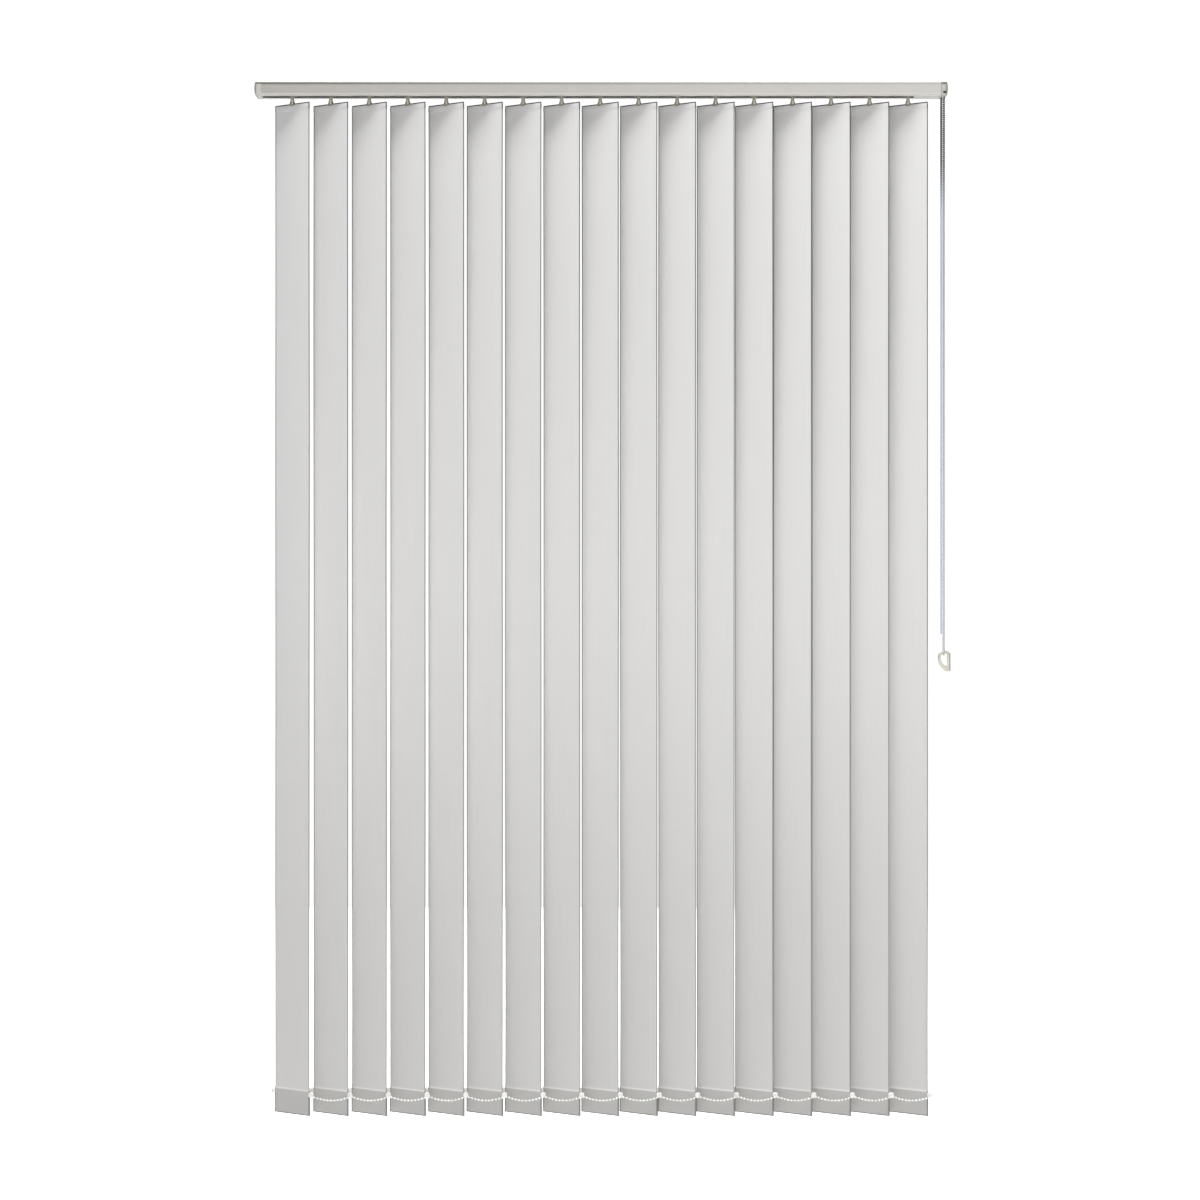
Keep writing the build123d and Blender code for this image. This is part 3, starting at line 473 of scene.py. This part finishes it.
def hook_and_weight(colours):
    """Acetal hooks, natural and slightly clear, and white polypropylene weights: the hook is
    olive, with a painted highlight in the middle of its foot."""
    material, tree, shader, place, toned = moulded(
        "acetal_and_polypropylene_moulded", colours.hooks, 0.35, 0.0006, "#99967D")
    axes = add(tree, "ShaderNodeSeparateXYZ", {0: place.outputs["Object"]})
    off_first = add(tree, "ShaderNodeMath", {0: axes.outputs[0], 1: STEMS[0]},
                    operation="SUBTRACT")
    off_stem = add(tree, "ShaderNodeMath", {0: off_first.outputs[0], 1: PITCH / 2,
                                            2: -PITCH / 2}, operation="WRAP")
    across = add(tree, "ShaderNodeMath", {0: off_stem.outputs[0]}, operation="ABSOLUTE")
    # Painted highlight: the middle of the hook's foot is painted paler.
    middle = add(tree, "ShaderNodeMapRange", {0: across.outputs[0], 1: 3.0 * MM, 2: 0.8 * MM,
                                              3: 0.0, 4: 0.85})
    low = add(tree, "ShaderNodeMapRange", {0: axes.outputs[2], 1: RAIL_FOOT - 3.0 * MM,
                                           2: RAIL_FOOT - 9.0 * MM, 3: 0.25, 4: 1.0})
    above_sole = add(tree, "ShaderNodeMapRange", {0: axes.outputs[2], 1: LOUVRE_TOP - 2.4 * MM,
                                                  2: LOUVRE_TOP - 1.2 * MM, 3: 0.0, 4: 1.0})
    share = add(tree, "ShaderNodeMath", {0: middle.outputs[0], 1: low.outputs[0]},
                operation="MULTIPLY")
    clear = add(tree, "ShaderNodeMath", {0: share.outputs[0], 1: above_sole.outputs[0]},
                operation="MULTIPLY")
    hook = add(tree, "ShaderNodeMix", {0: clear.outputs[0], 6: toned.outputs[2],
                                       7: rgba("#EFE8E0")}, data_type="RGBA")
    below = add(tree, "ShaderNodeMath", {0: axes.outputs[2], 1: -0.06}, operation="LESS_THAN")
    both = add(tree, "ShaderNodeMix", {0: below.outputs[0], 6: hook.outputs[2],
                                       7: rgba(colours.clips)}, data_type="RGBA")
    tree.links.new(both.outputs[2], shader.inputs["Base Color"])
    return material


def cap_plastic(colours):
    """ABS, moulded: satin, a little warmer than the coated rail. Painted shade darkens the outer
    curve of each cap, its long top edges, the seam at the rail and the key recess."""
    material, tree, shader, place, toned = moulded(
        "abs_moulded", colours.caps, 0.4, 0.0007, "#C6C4BC")
    axes = add(tree, "ShaderNodeSeparateXYZ", {0: place.outputs["Object"]})
    outwards = add(tree, "ShaderNodeMath", {0: axes.outputs[0]}, operation="ABSOLUTE")
    # Painted shade on the outer curve, the seam at the rail and the key recess.
    curve = add(tree, "ShaderNodeMapRange", {0: outwards.outputs[0], 1: RAIL_END + 8.5 * MM,
                                             2: RAIL_END + 12.0 * MM, 3: 0.0, 4: 0.9})
    curve_shaded = add(tree, "ShaderNodeMix", {0: curve.outputs[0], 6: toned.outputs[2],
                                         7: rgba("#77756D")}, data_type="RGBA")
    depth = add(tree, "ShaderNodeMath", {0: axes.outputs[1]}, operation="ABSOLUTE")
    top_shade = top_edge_shade(tree, axes, depth, -5.5 * MM, -3.0 * MM)
    top_shaded = add(tree, "ShaderNodeMix", {0: top_shade.outputs[0], 6: curve_shaded.outputs[2],
                                          7: rgba("#62665B")}, data_type="RGBA")
    seam = add(tree, "ShaderNodeMath", {0: axes.outputs[0], 1: RAIL_END + 0.4 * MM, 2: 0.7 * MM},
               operation="COMPARE")
    seam_shaded = add(tree, "ShaderNodeMix", {0: seam.outputs[0], 6: top_shaded.outputs[2],
                                         7: rgba("#8A877B")}, data_type="RGBA")
    sideways = add(tree, "ShaderNodeMath", {0: axes.outputs[0], 1: RAIL_END + 7.5 * MM,
                                            2: 3.2 * MM}, operation="COMPARE")
    level = add(tree, "ShaderNodeMath", {0: axes.outputs[2], 1: -21.1 * MM, 2: 2.6 * MM},
                operation="COMPARE")
    key = add(tree, "ShaderNodeMath", {0: sideways.outputs[0], 1: level.outputs[0]},
              operation="MULTIPLY")
    key_shaded = add(tree, "ShaderNodeMix", {0: key.outputs[0], 6: seam_shaded.outputs[2],
                                        7: rgba("#57534C")}, data_type="RGBA")
    tree.links.new(key_shaded.outputs[2], shader.inputs["Base Color"])
    return material


def faded(name, dark, pale, roughness, wave_angle=None):
    """A cord or chain that is dark near the rail and fades to a pale blue-grey down its drop."""
    material, tree, shader = new_finish(name, Roughness=roughness, Specular_IOR_Level=0.15)
    place = add(tree, "ShaderNodeTexCoord")
    axes = add(tree, "ShaderNodeSeparateXYZ", {0: place.outputs["Object"]})
    drop = add(tree, "ShaderNodeMapRange", {0: axes.outputs[2], 1: -0.14, 2: -0.29,
                                            3: 0.0, 4: 1.0}, interpolation_type="SMOOTHSTEP")
    shade = add(tree, "ShaderNodeMix", {0: drop.outputs[0], 6: rgba(dark), 7: rgba(pale)},
                data_type="RGBA")
    further = add(tree, "ShaderNodeMapRange", {0: axes.outputs[2], 1: -0.3, 2: -1.2,
                                               3: 0.0, 4: 0.18})
    washed = add(tree, "ShaderNodeMix", {0: further.outputs[0], 6: shade.outputs[2],
                                         7: rgba("#F0F2F4")}, data_type="RGBA")
    tree.links.new(washed.outputs[2], shader.inputs["Base Color"])
    if wave_angle:
        leaning = add(tree, "ShaderNodeMapping", {0: place.outputs["Object"],
                                                  2: (0.0, wave_angle, 0.0)})
        braid = add(tree, "ShaderNodeTexWave", {0: leaning.outputs[0], "Scale": 160.0,
                                                "Distortion": 0.5}, bands_direction="Z")
        relief = add(tree, "ShaderNodeBump", {"Strength": 0.5, "Distance": 0.0002,
                                              "Height": braid.outputs[1]})
        tree.links.new(relief.outputs[0], shader.inputs["Normal"])
    return material


def bare_metal(name, colour, roughness, along_x):
    """Bare metal, drawn or rolled: fine lines along its length stretch the highlight."""
    material, tree, shader = new_finish(name, Metallic=1.0, Roughness=roughness)
    place = add(tree, "ShaderNodeTexCoord")
    drawn = add(tree, "ShaderNodeMapping", {0: place.outputs["Object"],
                                            3: (0.02 if along_x else 1.0, 1.0, 1.0)})
    lines = add(tree, "ShaderNodeTexNoise", {0: drawn.outputs[0], "Scale": 900.0,
                                             "Detail": 2.0})
    tone = add(tree, "ShaderNodeMix", {0: lines.outputs[0], 6: rgba(colour),
                                       7: rgba("#E4E5E6")}, data_type="RGBA")
    tree.links.new(tone.outputs[2], shader.inputs["Base Color"])
    relief = add(tree, "ShaderNodeBump", {"Strength": 0.1, "Distance": 0.0001,
                                          "Height": lines.outputs[0]})
    tree.links.new(relief.outputs[0], shader.inputs["Normal"])
    return material


# ---------------------------------------------------------------- operators
class BLIND_OT_stage(bpy.types.Operator):
    """Set up the camera, the pale floor and the soft studio light"""

    bl_idname = "blind.stage"
    bl_label = "Camera, floor and light"

    def execute(self, context):
        scene = context.scene
        scene.view_settings.view_transform = "Standard"
        data = bpy.data.cameras.new("camera")
        data.lens = 73.01
        data.sensor_width = 36.0
        data.shift_y = 0.00667
        camera = bpy.data.objects.new("camera", data)
        camera.location = (-0.00235, -5.06, -1.0893)
        camera.rotation_euler = (pi / 2, 0, 0)
        scene.collection.objects.link(camera)
        scene.camera = camera

        world = bpy.data.worlds.new("studio")
        world.use_nodes = True
        tree = world.node_tree
        tree.nodes.clear()
        # The studio's walls are brighter on the room side and overhead than behind.
        way = add(tree, "ShaderNodeTexCoord")
        ways = add(tree, "ShaderNodeSeparateXYZ", {0: way.outputs["Generated"]})
        room = add(tree, "ShaderNodeMapRange", {0: ways.outputs[1], 1: 0.5, 2: -0.5,
                                                3: 0.22, 4: 0.35})
        soft = add(tree, "ShaderNodeBackground", {0: rgba("#FAFBFF"), 1: room.outputs[0]})
        white = add(tree, "ShaderNodeBackground", {0: rgba("#FFFFFF"), 1: 1.05})
        seen = add(tree, "ShaderNodeLightPath")
        both = add(tree, "ShaderNodeMixShader", {0: seen.outputs["Is Camera Ray"],
                                                 1: soft.outputs[0], 2: white.outputs[0]})
        add(tree, "ShaderNodeOutputWorld", {0: both.outputs[0]})
        scene.world = world

        side, front, back = 5.0, -6.5, 6.0
        corners = [(-side, front, FLOOR_Z), (side, front, FLOOR_Z), (side, back, FLOOR_Z),
                   (-side, back, FLOOR_Z)]
        paint, tree, shader = new_finish("plaster_painted_matt", Roughness=1.0)
        shader.inputs["Base Color"].default_value = rgba("#FFFFFF")
        shader.inputs["Specular IOR Level"].default_value = 0.0
        new_piece("floor", corners, [(0, 1, 2, 3)], paint, smooth=False)

        # A steep lamp shades the louvres just under the rail, and the lamp in front evens the
        # rest. The last one keeps the floor behind the blind as pale as the studio.
        self.lamp(context, "top", (-0.1, -1.35, 4.4), (0.0, 0.0, -1.0), 2.4, 350.0)
        self.lamp(context, "front", (-1.6, -7.5, -0.6), (0.0, 0.0, -1.1), 3.0, 86.0)
        self.lamp(context, "floor_wash", (0.0, 3.9, -0.4), (0.0, 3.9, FLOOR_Z), 6.2, 215.0)
        return {"FINISHED"}

    def lamp(self, context, name, place, target, size, power):
        """A square soft box aimed at a target."""
        data = bpy.data.lights.new(name, "AREA")
        data.size = size
        data.energy = power
        lamp = bpy.data.objects.new(name, data)
        lamp.location = place
        away = lamp.location - type(lamp.location)(target)
        lamp.rotation_euler = away.to_track_quat("Z", "Y").to_euler()
        context.scene.collection.objects.link(lamp)


class BLIND_OT_draw_cord(bpy.types.Operator):
    """Make the draw cord that opens and closes the blind"""

    bl_idname = "blind.draw_cord"
    bl_label = "Draw cord"

    def execute(self, context):
        colours = context.scene.blind_colours
        cord = new_route("draw_cord_braided", DRAW_CORD_ROUTE, DRAW_CORD_R * MM)
        context.scene.collection.objects.link(cord)
        # Polyester, braided: soft low sheen, with strands that cross at a slant.
        cord.data.materials.append(faded(
            "polyester_braided", colours.cord_dark, colours.cord_pale, 0.7, radians(35)))
        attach(cord, "root")
        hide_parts("draw_cord")
        line = read_route(DRAW_CORD_ROUTE)
        return {"FINISHED"}


class BLIND_OT_tilt_chain(bpy.types.Operator):
    """Make the endless bead chain that turns the louvres"""

    bl_idname = "blind.tilt_chain"
    bl_label = "Tilt chain"

    def execute(self, context):
        sizes, colours = context.scene.blind_sizes, context.scene.blind_colours
        line = read_route(TILT_CHAIN_ROUTE)
        points, faces = string_of_beads(line, sizes.tilt_bead, sizes.tilt_spacing, 0.7 * MM,
                                        (1.0, 0.0, 0.0))
        # Acetal, moulded on a polyester string: smooth beads with a soft shine.
        chain = new_piece("tilt_chain_beads", points, faces, faded(
            "acetal_beads_moulded_on_string", colours.chain_dark, colours.chain_pale, 0.35))
        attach(chain, "root")
        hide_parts("control_chain")
        return {"FINISHED"}


class BLIND_OT_link_chains(bpy.types.Operator):
    """Make the two bead chains that link the feet of the louvres"""

    bl_idname = "blind.link_chains"
    bl_label = "Link chains"

    def execute(self, context):
        sizes, colours = context.scene.blind_sizes, context.scene.blind_colours
        # Polypropylene, moulded on a thin cord: white, smooth and slightly waxy.
        white = moulded("polypropylene_beads_moulded", colours.clips, 0.4, 0.0008, "#ECEAE4")[0]
        for name, side in (("front_link_chain", 1), ("rear_link_chain", -1)):
            route = link_route(side)
            line = read_route(route)
            points, faces = string_of_beads(line, sizes.link_bead, sizes.link_spacing,
                                            0.5 * MM, (0.0, 1.0, 0.0))
            chain = new_piece(name + "_beads", points, faces, white)
            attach(chain, name)
            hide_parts(name)
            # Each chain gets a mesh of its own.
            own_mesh(chain)
        return {"FINISHED"}


class BLIND_OT_louvres(bpy.types.Operator):
    """Make the cloth louvres, each one strip folded into a pocket at the top and the foot"""

    bl_idname = "blind.louvres"
    bl_label = "Louvres"

    def execute(self, context):
        sizes, colours = context.scene.blind_sizes, context.scene.blind_colours
        cloth = woven_cloth(sizes, colours)
        dice = random.Random(sizes.seed)
        profile = strip_profile(sizes)
        steps = [hypot(b[0] - a[0], b[1] - a[1]) for a, b in zip(profile, profile[1:])]
        for name, stem in zip(LOUVRES, STEMS):
            louvre = louvre_strip(name + "_cloth", stem, profile, steps, sizes, dice, cloth)
            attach(louvre, name)
            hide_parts(name)
        return {"FINISHED"}


class BLIND_OT_fittings(bpy.types.Operator):
    """Finish the hooks and weights, and add the clips that hold the link chains"""

    bl_idname = "blind.fittings"
    bl_label = "Hooks, weights and clips"

    def execute(self, context):
        colours = context.scene.blind_colours
        plastic = hook_and_weight(colours)
        # Polypropylene, moulded: white, smooth, with a low waxy shine.
        white = moulded("polypropylene_moulded", colours.clips, 0.4, 0.0006, "#ECEAE4")[0]
        for name, stem in zip(LOUVRES, STEMS):
            refinish(name.replace("louvre", "fittings"), plastic)
            points, faces = chain_clips(stem)
            clips = new_piece(name.replace("louvre", "chain_clips"), points, faces, white)
            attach(clips, name)
        return {"FINISHED"}


class BLIND_OT_headrail(bpy.types.Operator):
    """Finish the headrail, its caps, its ceiling clips and everything that runs inside it"""

    bl_idname = "blind.headrail"
    bl_label = "Headrail and inside"

    def execute(self, context):
        colours = context.scene.blind_colours
        refinish("headrail", powder_coat(colours))
        refinish("end_caps", cap_plastic(colours))
        # Spring steel, rolled and zinc plated: cool and fairly bright.
        refinish("ceiling_clips", bare_metal("steel_zinc_plated", "#AEB3B8", 0.38, False))
        # Aluminium, drawn: bright lines along the rod.
        refinish("tilt_rod", bare_metal("aluminium_drawn", "#C9CACB", 0.3, True))
        # Acetal, moulded: milky white with a slight shine.
        carrier = moulded("acetal_moulded", "#C9C6BC", 0.35, 0.0006, "#BDBAB0")[0]
        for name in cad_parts:
            if name.startswith("carrier_"):
                refinish(name, carrier)
        return {"FINISHED"}


class BLIND_OT_safety_clip(bpy.types.Operator):
    """Finish the safety clip that the tilt chain runs through"""

    bl_idname = "blind.safety_clip"
    bl_label = "Safety clip"

    def execute(self, context):
        # Polycarbonate, moulded: pale and glossy; a grey band along its flat side is painted
        # shade.
        material, tree, shader, place, toned = moulded(
            "polycarbonate_moulded", "#E7E3D8", 0.2, 0.001, "#D5D3BE")
        axes = add(tree, "ShaderNodeSeparateXYZ", {0: place.outputs["Object"]})
        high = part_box("safety_clip")[1].x
        flat_side_shade = add(tree, "ShaderNodeMath", {0: axes.outputs[0], 1: high - 2.0 * MM},
                  operation="GREATER_THAN")
        both = add(tree, "ShaderNodeMix", {0: flat_side_shade.outputs[0], 6: toned.outputs[2],
                                           7: rgba("#9A9C9E")}, data_type="RGBA")
        tree.links.new(both.outputs[2], shader.inputs["Base Color"])
        refinish("safety_clip", material)
        return {"FINISHED"}


def link_route(side):
    """Control points of one link chain in millimetres; side is 1 front, -1 back."""
    x_reach = side * LINK_REACH * ACROSS[0]
    y = side * LINK_REACH * ACROSS[1]
    route = []
    for index, stem in enumerate(STEMS[:-1]):
        for share, sag in LINK_SAGS:
            lift = LINK_CREST_LIFT if share == 0 and index > 0 else 0
            route.append((stem / MM + x_reach + share * PITCH / MM, y, LINK_CREST - sag + lift))
    route.append((STEMS[-1] / MM + x_reach, y, LINK_CREST))
    return route


def strip_profile(sizes):
    """The folded strip seen from its edge: distance behind the middle, and height."""
    top_half, foot_half, layer = 0.7 * MM, 1.05 * MM, 0.42 * MM
    half_cloth = sizes.cloth / 2
    top = LOUVRE_TOP - half_cloth - top_half
    foot = LOUVRE_FOOT + half_cloth + foot_half
    weld = LOUVRE_TOP - sizes.top_pocket
    seam = LOUVRE_FOOT + sizes.bottom_pocket
    profile = [(layer, weld - 2.6 * MM), (layer, weld - 0.6 * MM), (top_half, weld + 1.4 * MM),
               (top_half, weld + 6 * MM)]
    bends = 6
    for step in range(bends + 1):
        turn = pi * step / bends
        profile.append((top_half * cos(turn), top + top_half * sin(turn)))
    profile += [(-top_half, weld + 6 * MM), (-top_half, weld + 1.4 * MM),
                (-0.15 * MM, weld - 0.6 * MM), (0, weld - 2.6 * MM)]
    rows = 48
    start, end = weld - 8 * MM, seam + 8 * MM
    profile += [(0, start + (end - start) * row / rows) for row in range(rows + 1)]
    profile += [(0, seam + 3.2 * MM), (-0.35 * MM, seam + 1.6 * MM),
                (-foot_half, seam - 1.6 * MM), (-foot_half, seam - 20 * MM)]
    for step in range(bends + 1):
        turn = pi * step / bends
        profile.append((-foot_half * cos(turn), foot - foot_half * sin(turn)))
    profile += [(foot_half, seam - 20 * MM), (foot_half, seam - 1.6 * MM),
                (layer, seam + 1.6 * MM), (layer, seam + 3.2 * MM)]
    return profile


def louvre_strip(name, stem, profile, steps, sizes, dice, cloth):
    """One strip of cloth swept across its width, bowed and rippled between its pockets."""
    columns = 12
    half = sizes.louvre_width / 2
    corner = 2.2 * MM
    settle = 0.16       # distance from a pocket over which the bow and the ripples grow
    phases = [dice.uniform(0, 2 * pi) for _ in range(4)]
    heights = np.array([z for _, z in profile])
    middles = np.array([v for v, _ in profile])
    ahead = np.gradient(np.stack([middles, heights], axis=1), axis=0)
    ahead /= np.linalg.norm(ahead, axis=1)[:, None]
    outward = np.stack([ahead[:, 1], -ahead[:, 0]], axis=1)
    pocket_top = LOUVRE_TOP - sizes.top_pocket
    pocket_foot = LOUVRE_FOOT + sizes.bottom_pocket
    free = np.clip(np.minimum(pocket_top - heights, heights - pocket_foot) / settle, 0, 1)
    free = free * free * (3 - 2 * free)
    laid = np.concatenate(((0,), np.cumsum(steps)))
    points, flat = [], []
    for layer in (-1, 1):
        for row, (v, z) in enumerate(profile):
            below = max(0.0, corner - (LOUVRE_TOP - z))
            inset = corner - sqrt(max(corner ** 2 - below ** 2, 0.0))
            flare = 0.8 * MM * min(1.0, max(0.0, (pocket_foot + 4 * MM - z) / (6 * MM)))
            for column in range(columns + 1):
                share = 2 * column / columns - 1
                u = share * (half - inset + flare)
                bow = -sizes.bow * (1 - share * share)
                ripple = sizes.ripple * (sin(2.1 * z + phases[0]) + 0.5 * share * sin(
                    4.3 * z + phases[1]) + 0.4 * sin(7.7 * z + phases[2] + 1.5 * share))
                skin = layer * sizes.cloth / 2 * outward[row]
                shift = v + free[row] * (bow + ripple) + skin[0]
                height = z + skin[1]
                place = np.array((stem, 0, height)) + u * ACROSS + shift * THROUGH
                points.append(place)
                flat.append((u, laid[row]))
    wide = columns + 1
    rows = len(profile)
    other = rows * wide
    faces = []
    for row in range(rows - 1):
        for column in range(columns):
            a = row * wide + column
            faces.append((a, a + 1, a + wide + 1, a + wide))
            faces.append((other + a, other + a + wide, other + a + wide + 1, other + a + 1))
        for a in (row * wide, row * wide + columns):
            quad = (a, a + wide, other + a + wide, other + a)
            faces.append(quad if a % wide == 0 else quad[::-1])
    for a in range(columns):
        end = (rows - 1) * wide
        faces.append((a, other + a, other + a + 1, a + 1))
        faces.append((end + a, end + a + 1, other + end + a + 1, other + end + a))
    strip = new_piece(name, points, faces, cloth)
    mesh = strip.data
    layout = mesh.uv_layers.new(name="cloth")
    for corner_data, loop in zip(layout.data, mesh.loops):
        corner_data.uv = flat[loop.vertex_index]
    mesh.set_sharp_from_angle(angle=radians(50))
    return strip


def chain_clips(stem):
    """Both clips at the foot of one louvre: two plates over the weight's end, and the bar that
    the link chains hang from."""
    points, faces = [], []
    for side in (1, -1):
        clip_plates(points, faces, stem, side)
        hanging_bar(points, faces, stem, side)
    return points, faces


def clip_plates(points, faces, stem, side):
    """A round-cornered plate each side of the pocket, with a hole for the chain's clip."""
    middle_u, middle_z = 48.6 * MM, -2096.9 * MM
    half_u, half_z, hole_r, hole_u = 5.0 * MM, 5.2 * MM, 1.0 * MM, 50.35 * MM
    inner, outer = 1.32 * MM, 2.1 * MM
    ring = 28
    for face in (-1, 1):
        start = len(points)
        for depth in (inner, outer):
            for radius in ("edge", "hole"):
                for step in range(ring):
                    turn = 2 * pi * step / ring
                    c, s = cos(turn), sin(turn)
                    if radius == "edge":
                        u = middle_u + half_u * abs(c) ** 0.5 * (1 if c > 0 else -1)
                        z = middle_z + half_z * abs(s) ** 0.5 * (1 if s > 0 else -1)
                    else:
                        u = hole_u + hole_r * c
                        z = middle_z + hole_r * s
                    points.append(np.array((stem, 0, z)) + side * u * ACROSS
                                  + face * depth * THROUGH)
        loops = [start + ring * i for i in range(4)]
        pairs = ((2, 3), (1, 0), (0, 2), (3, 1))
        for step in range(ring):
            beside = (step + 1) % ring
            for a, b in pairs:
                quad = (loops[a] + step, loops[a] + beside, loops[b] + beside, loops[b] + step)
                faces.append(quad if face * side > 0 else quad[::-1])


def hanging_bar(points, faces, stem, side):
    """A small rounded bar along the rail's direction, under the clip, that the chains join."""
    template, template_faces = ball(1.5 * MM, sides=10, rings=7)
    middle = np.array((stem, 0, (LINK_CREST + 1.0) * MM)) + side * LINK_REACH * MM * ACROSS
    start = len(points)
    stretch = 2.2 * MM
    for point in template:
        z, y, x = point
        points.append(middle + np.array((x + stretch * np.sign(x), y, z)))
    faces.extend(tuple(start + i for i in face[::-1]) for face in template_faces)


# ---------------------------------------------------------------- panel and registration
class BLIND_PT_panel(bpy.types.Panel):
    """Lists the blind's sizes, colours and makers"""

    bl_idname = "BLIND_PT_panel"
    bl_label = "Vertical Blind"
    bl_space_type = "VIEW_3D"
    bl_region_type = "UI"
    bl_category = "Blind"

    def draw(self, context):
        layout = self.layout
        for group in (context.scene.blind_sizes, context.scene.blind_colours):
            box = layout.box()
            for name in group.__annotations__:
                box.prop(group, name)
        for maker in MAKERS:
            layout.operator(maker.bl_idname)


MAKERS = (BLIND_OT_stage, BLIND_OT_draw_cord, BLIND_OT_tilt_chain, BLIND_OT_link_chains,
          BLIND_OT_louvres, BLIND_OT_fittings, BLIND_OT_headrail, BLIND_OT_safety_clip)
CLASSES = (BLIND_PG_sizes, BLIND_PG_colours, *MAKERS, BLIND_PT_panel)


def register():
    for each in CLASSES:
        bpy.utils.register_class(each)
    bpy.types.Scene.blind_sizes = PointerProperty(type=BLIND_PG_sizes)
    bpy.types.Scene.blind_colours = PointerProperty(type=BLIND_PG_colours)


def unregister():
    del bpy.types.Scene.blind_colours
    del bpy.types.Scene.blind_sizes
    for each in reversed(CLASSES):
        bpy.utils.unregister_class(each)


def main():
    """Make the whole blind."""
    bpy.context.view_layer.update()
    register()
    for maker in MAKERS:
        group, name = maker.bl_idname.split(".")
        getattr(getattr(bpy.ops, group), name)()


if __name__ == "__main__":
    main()
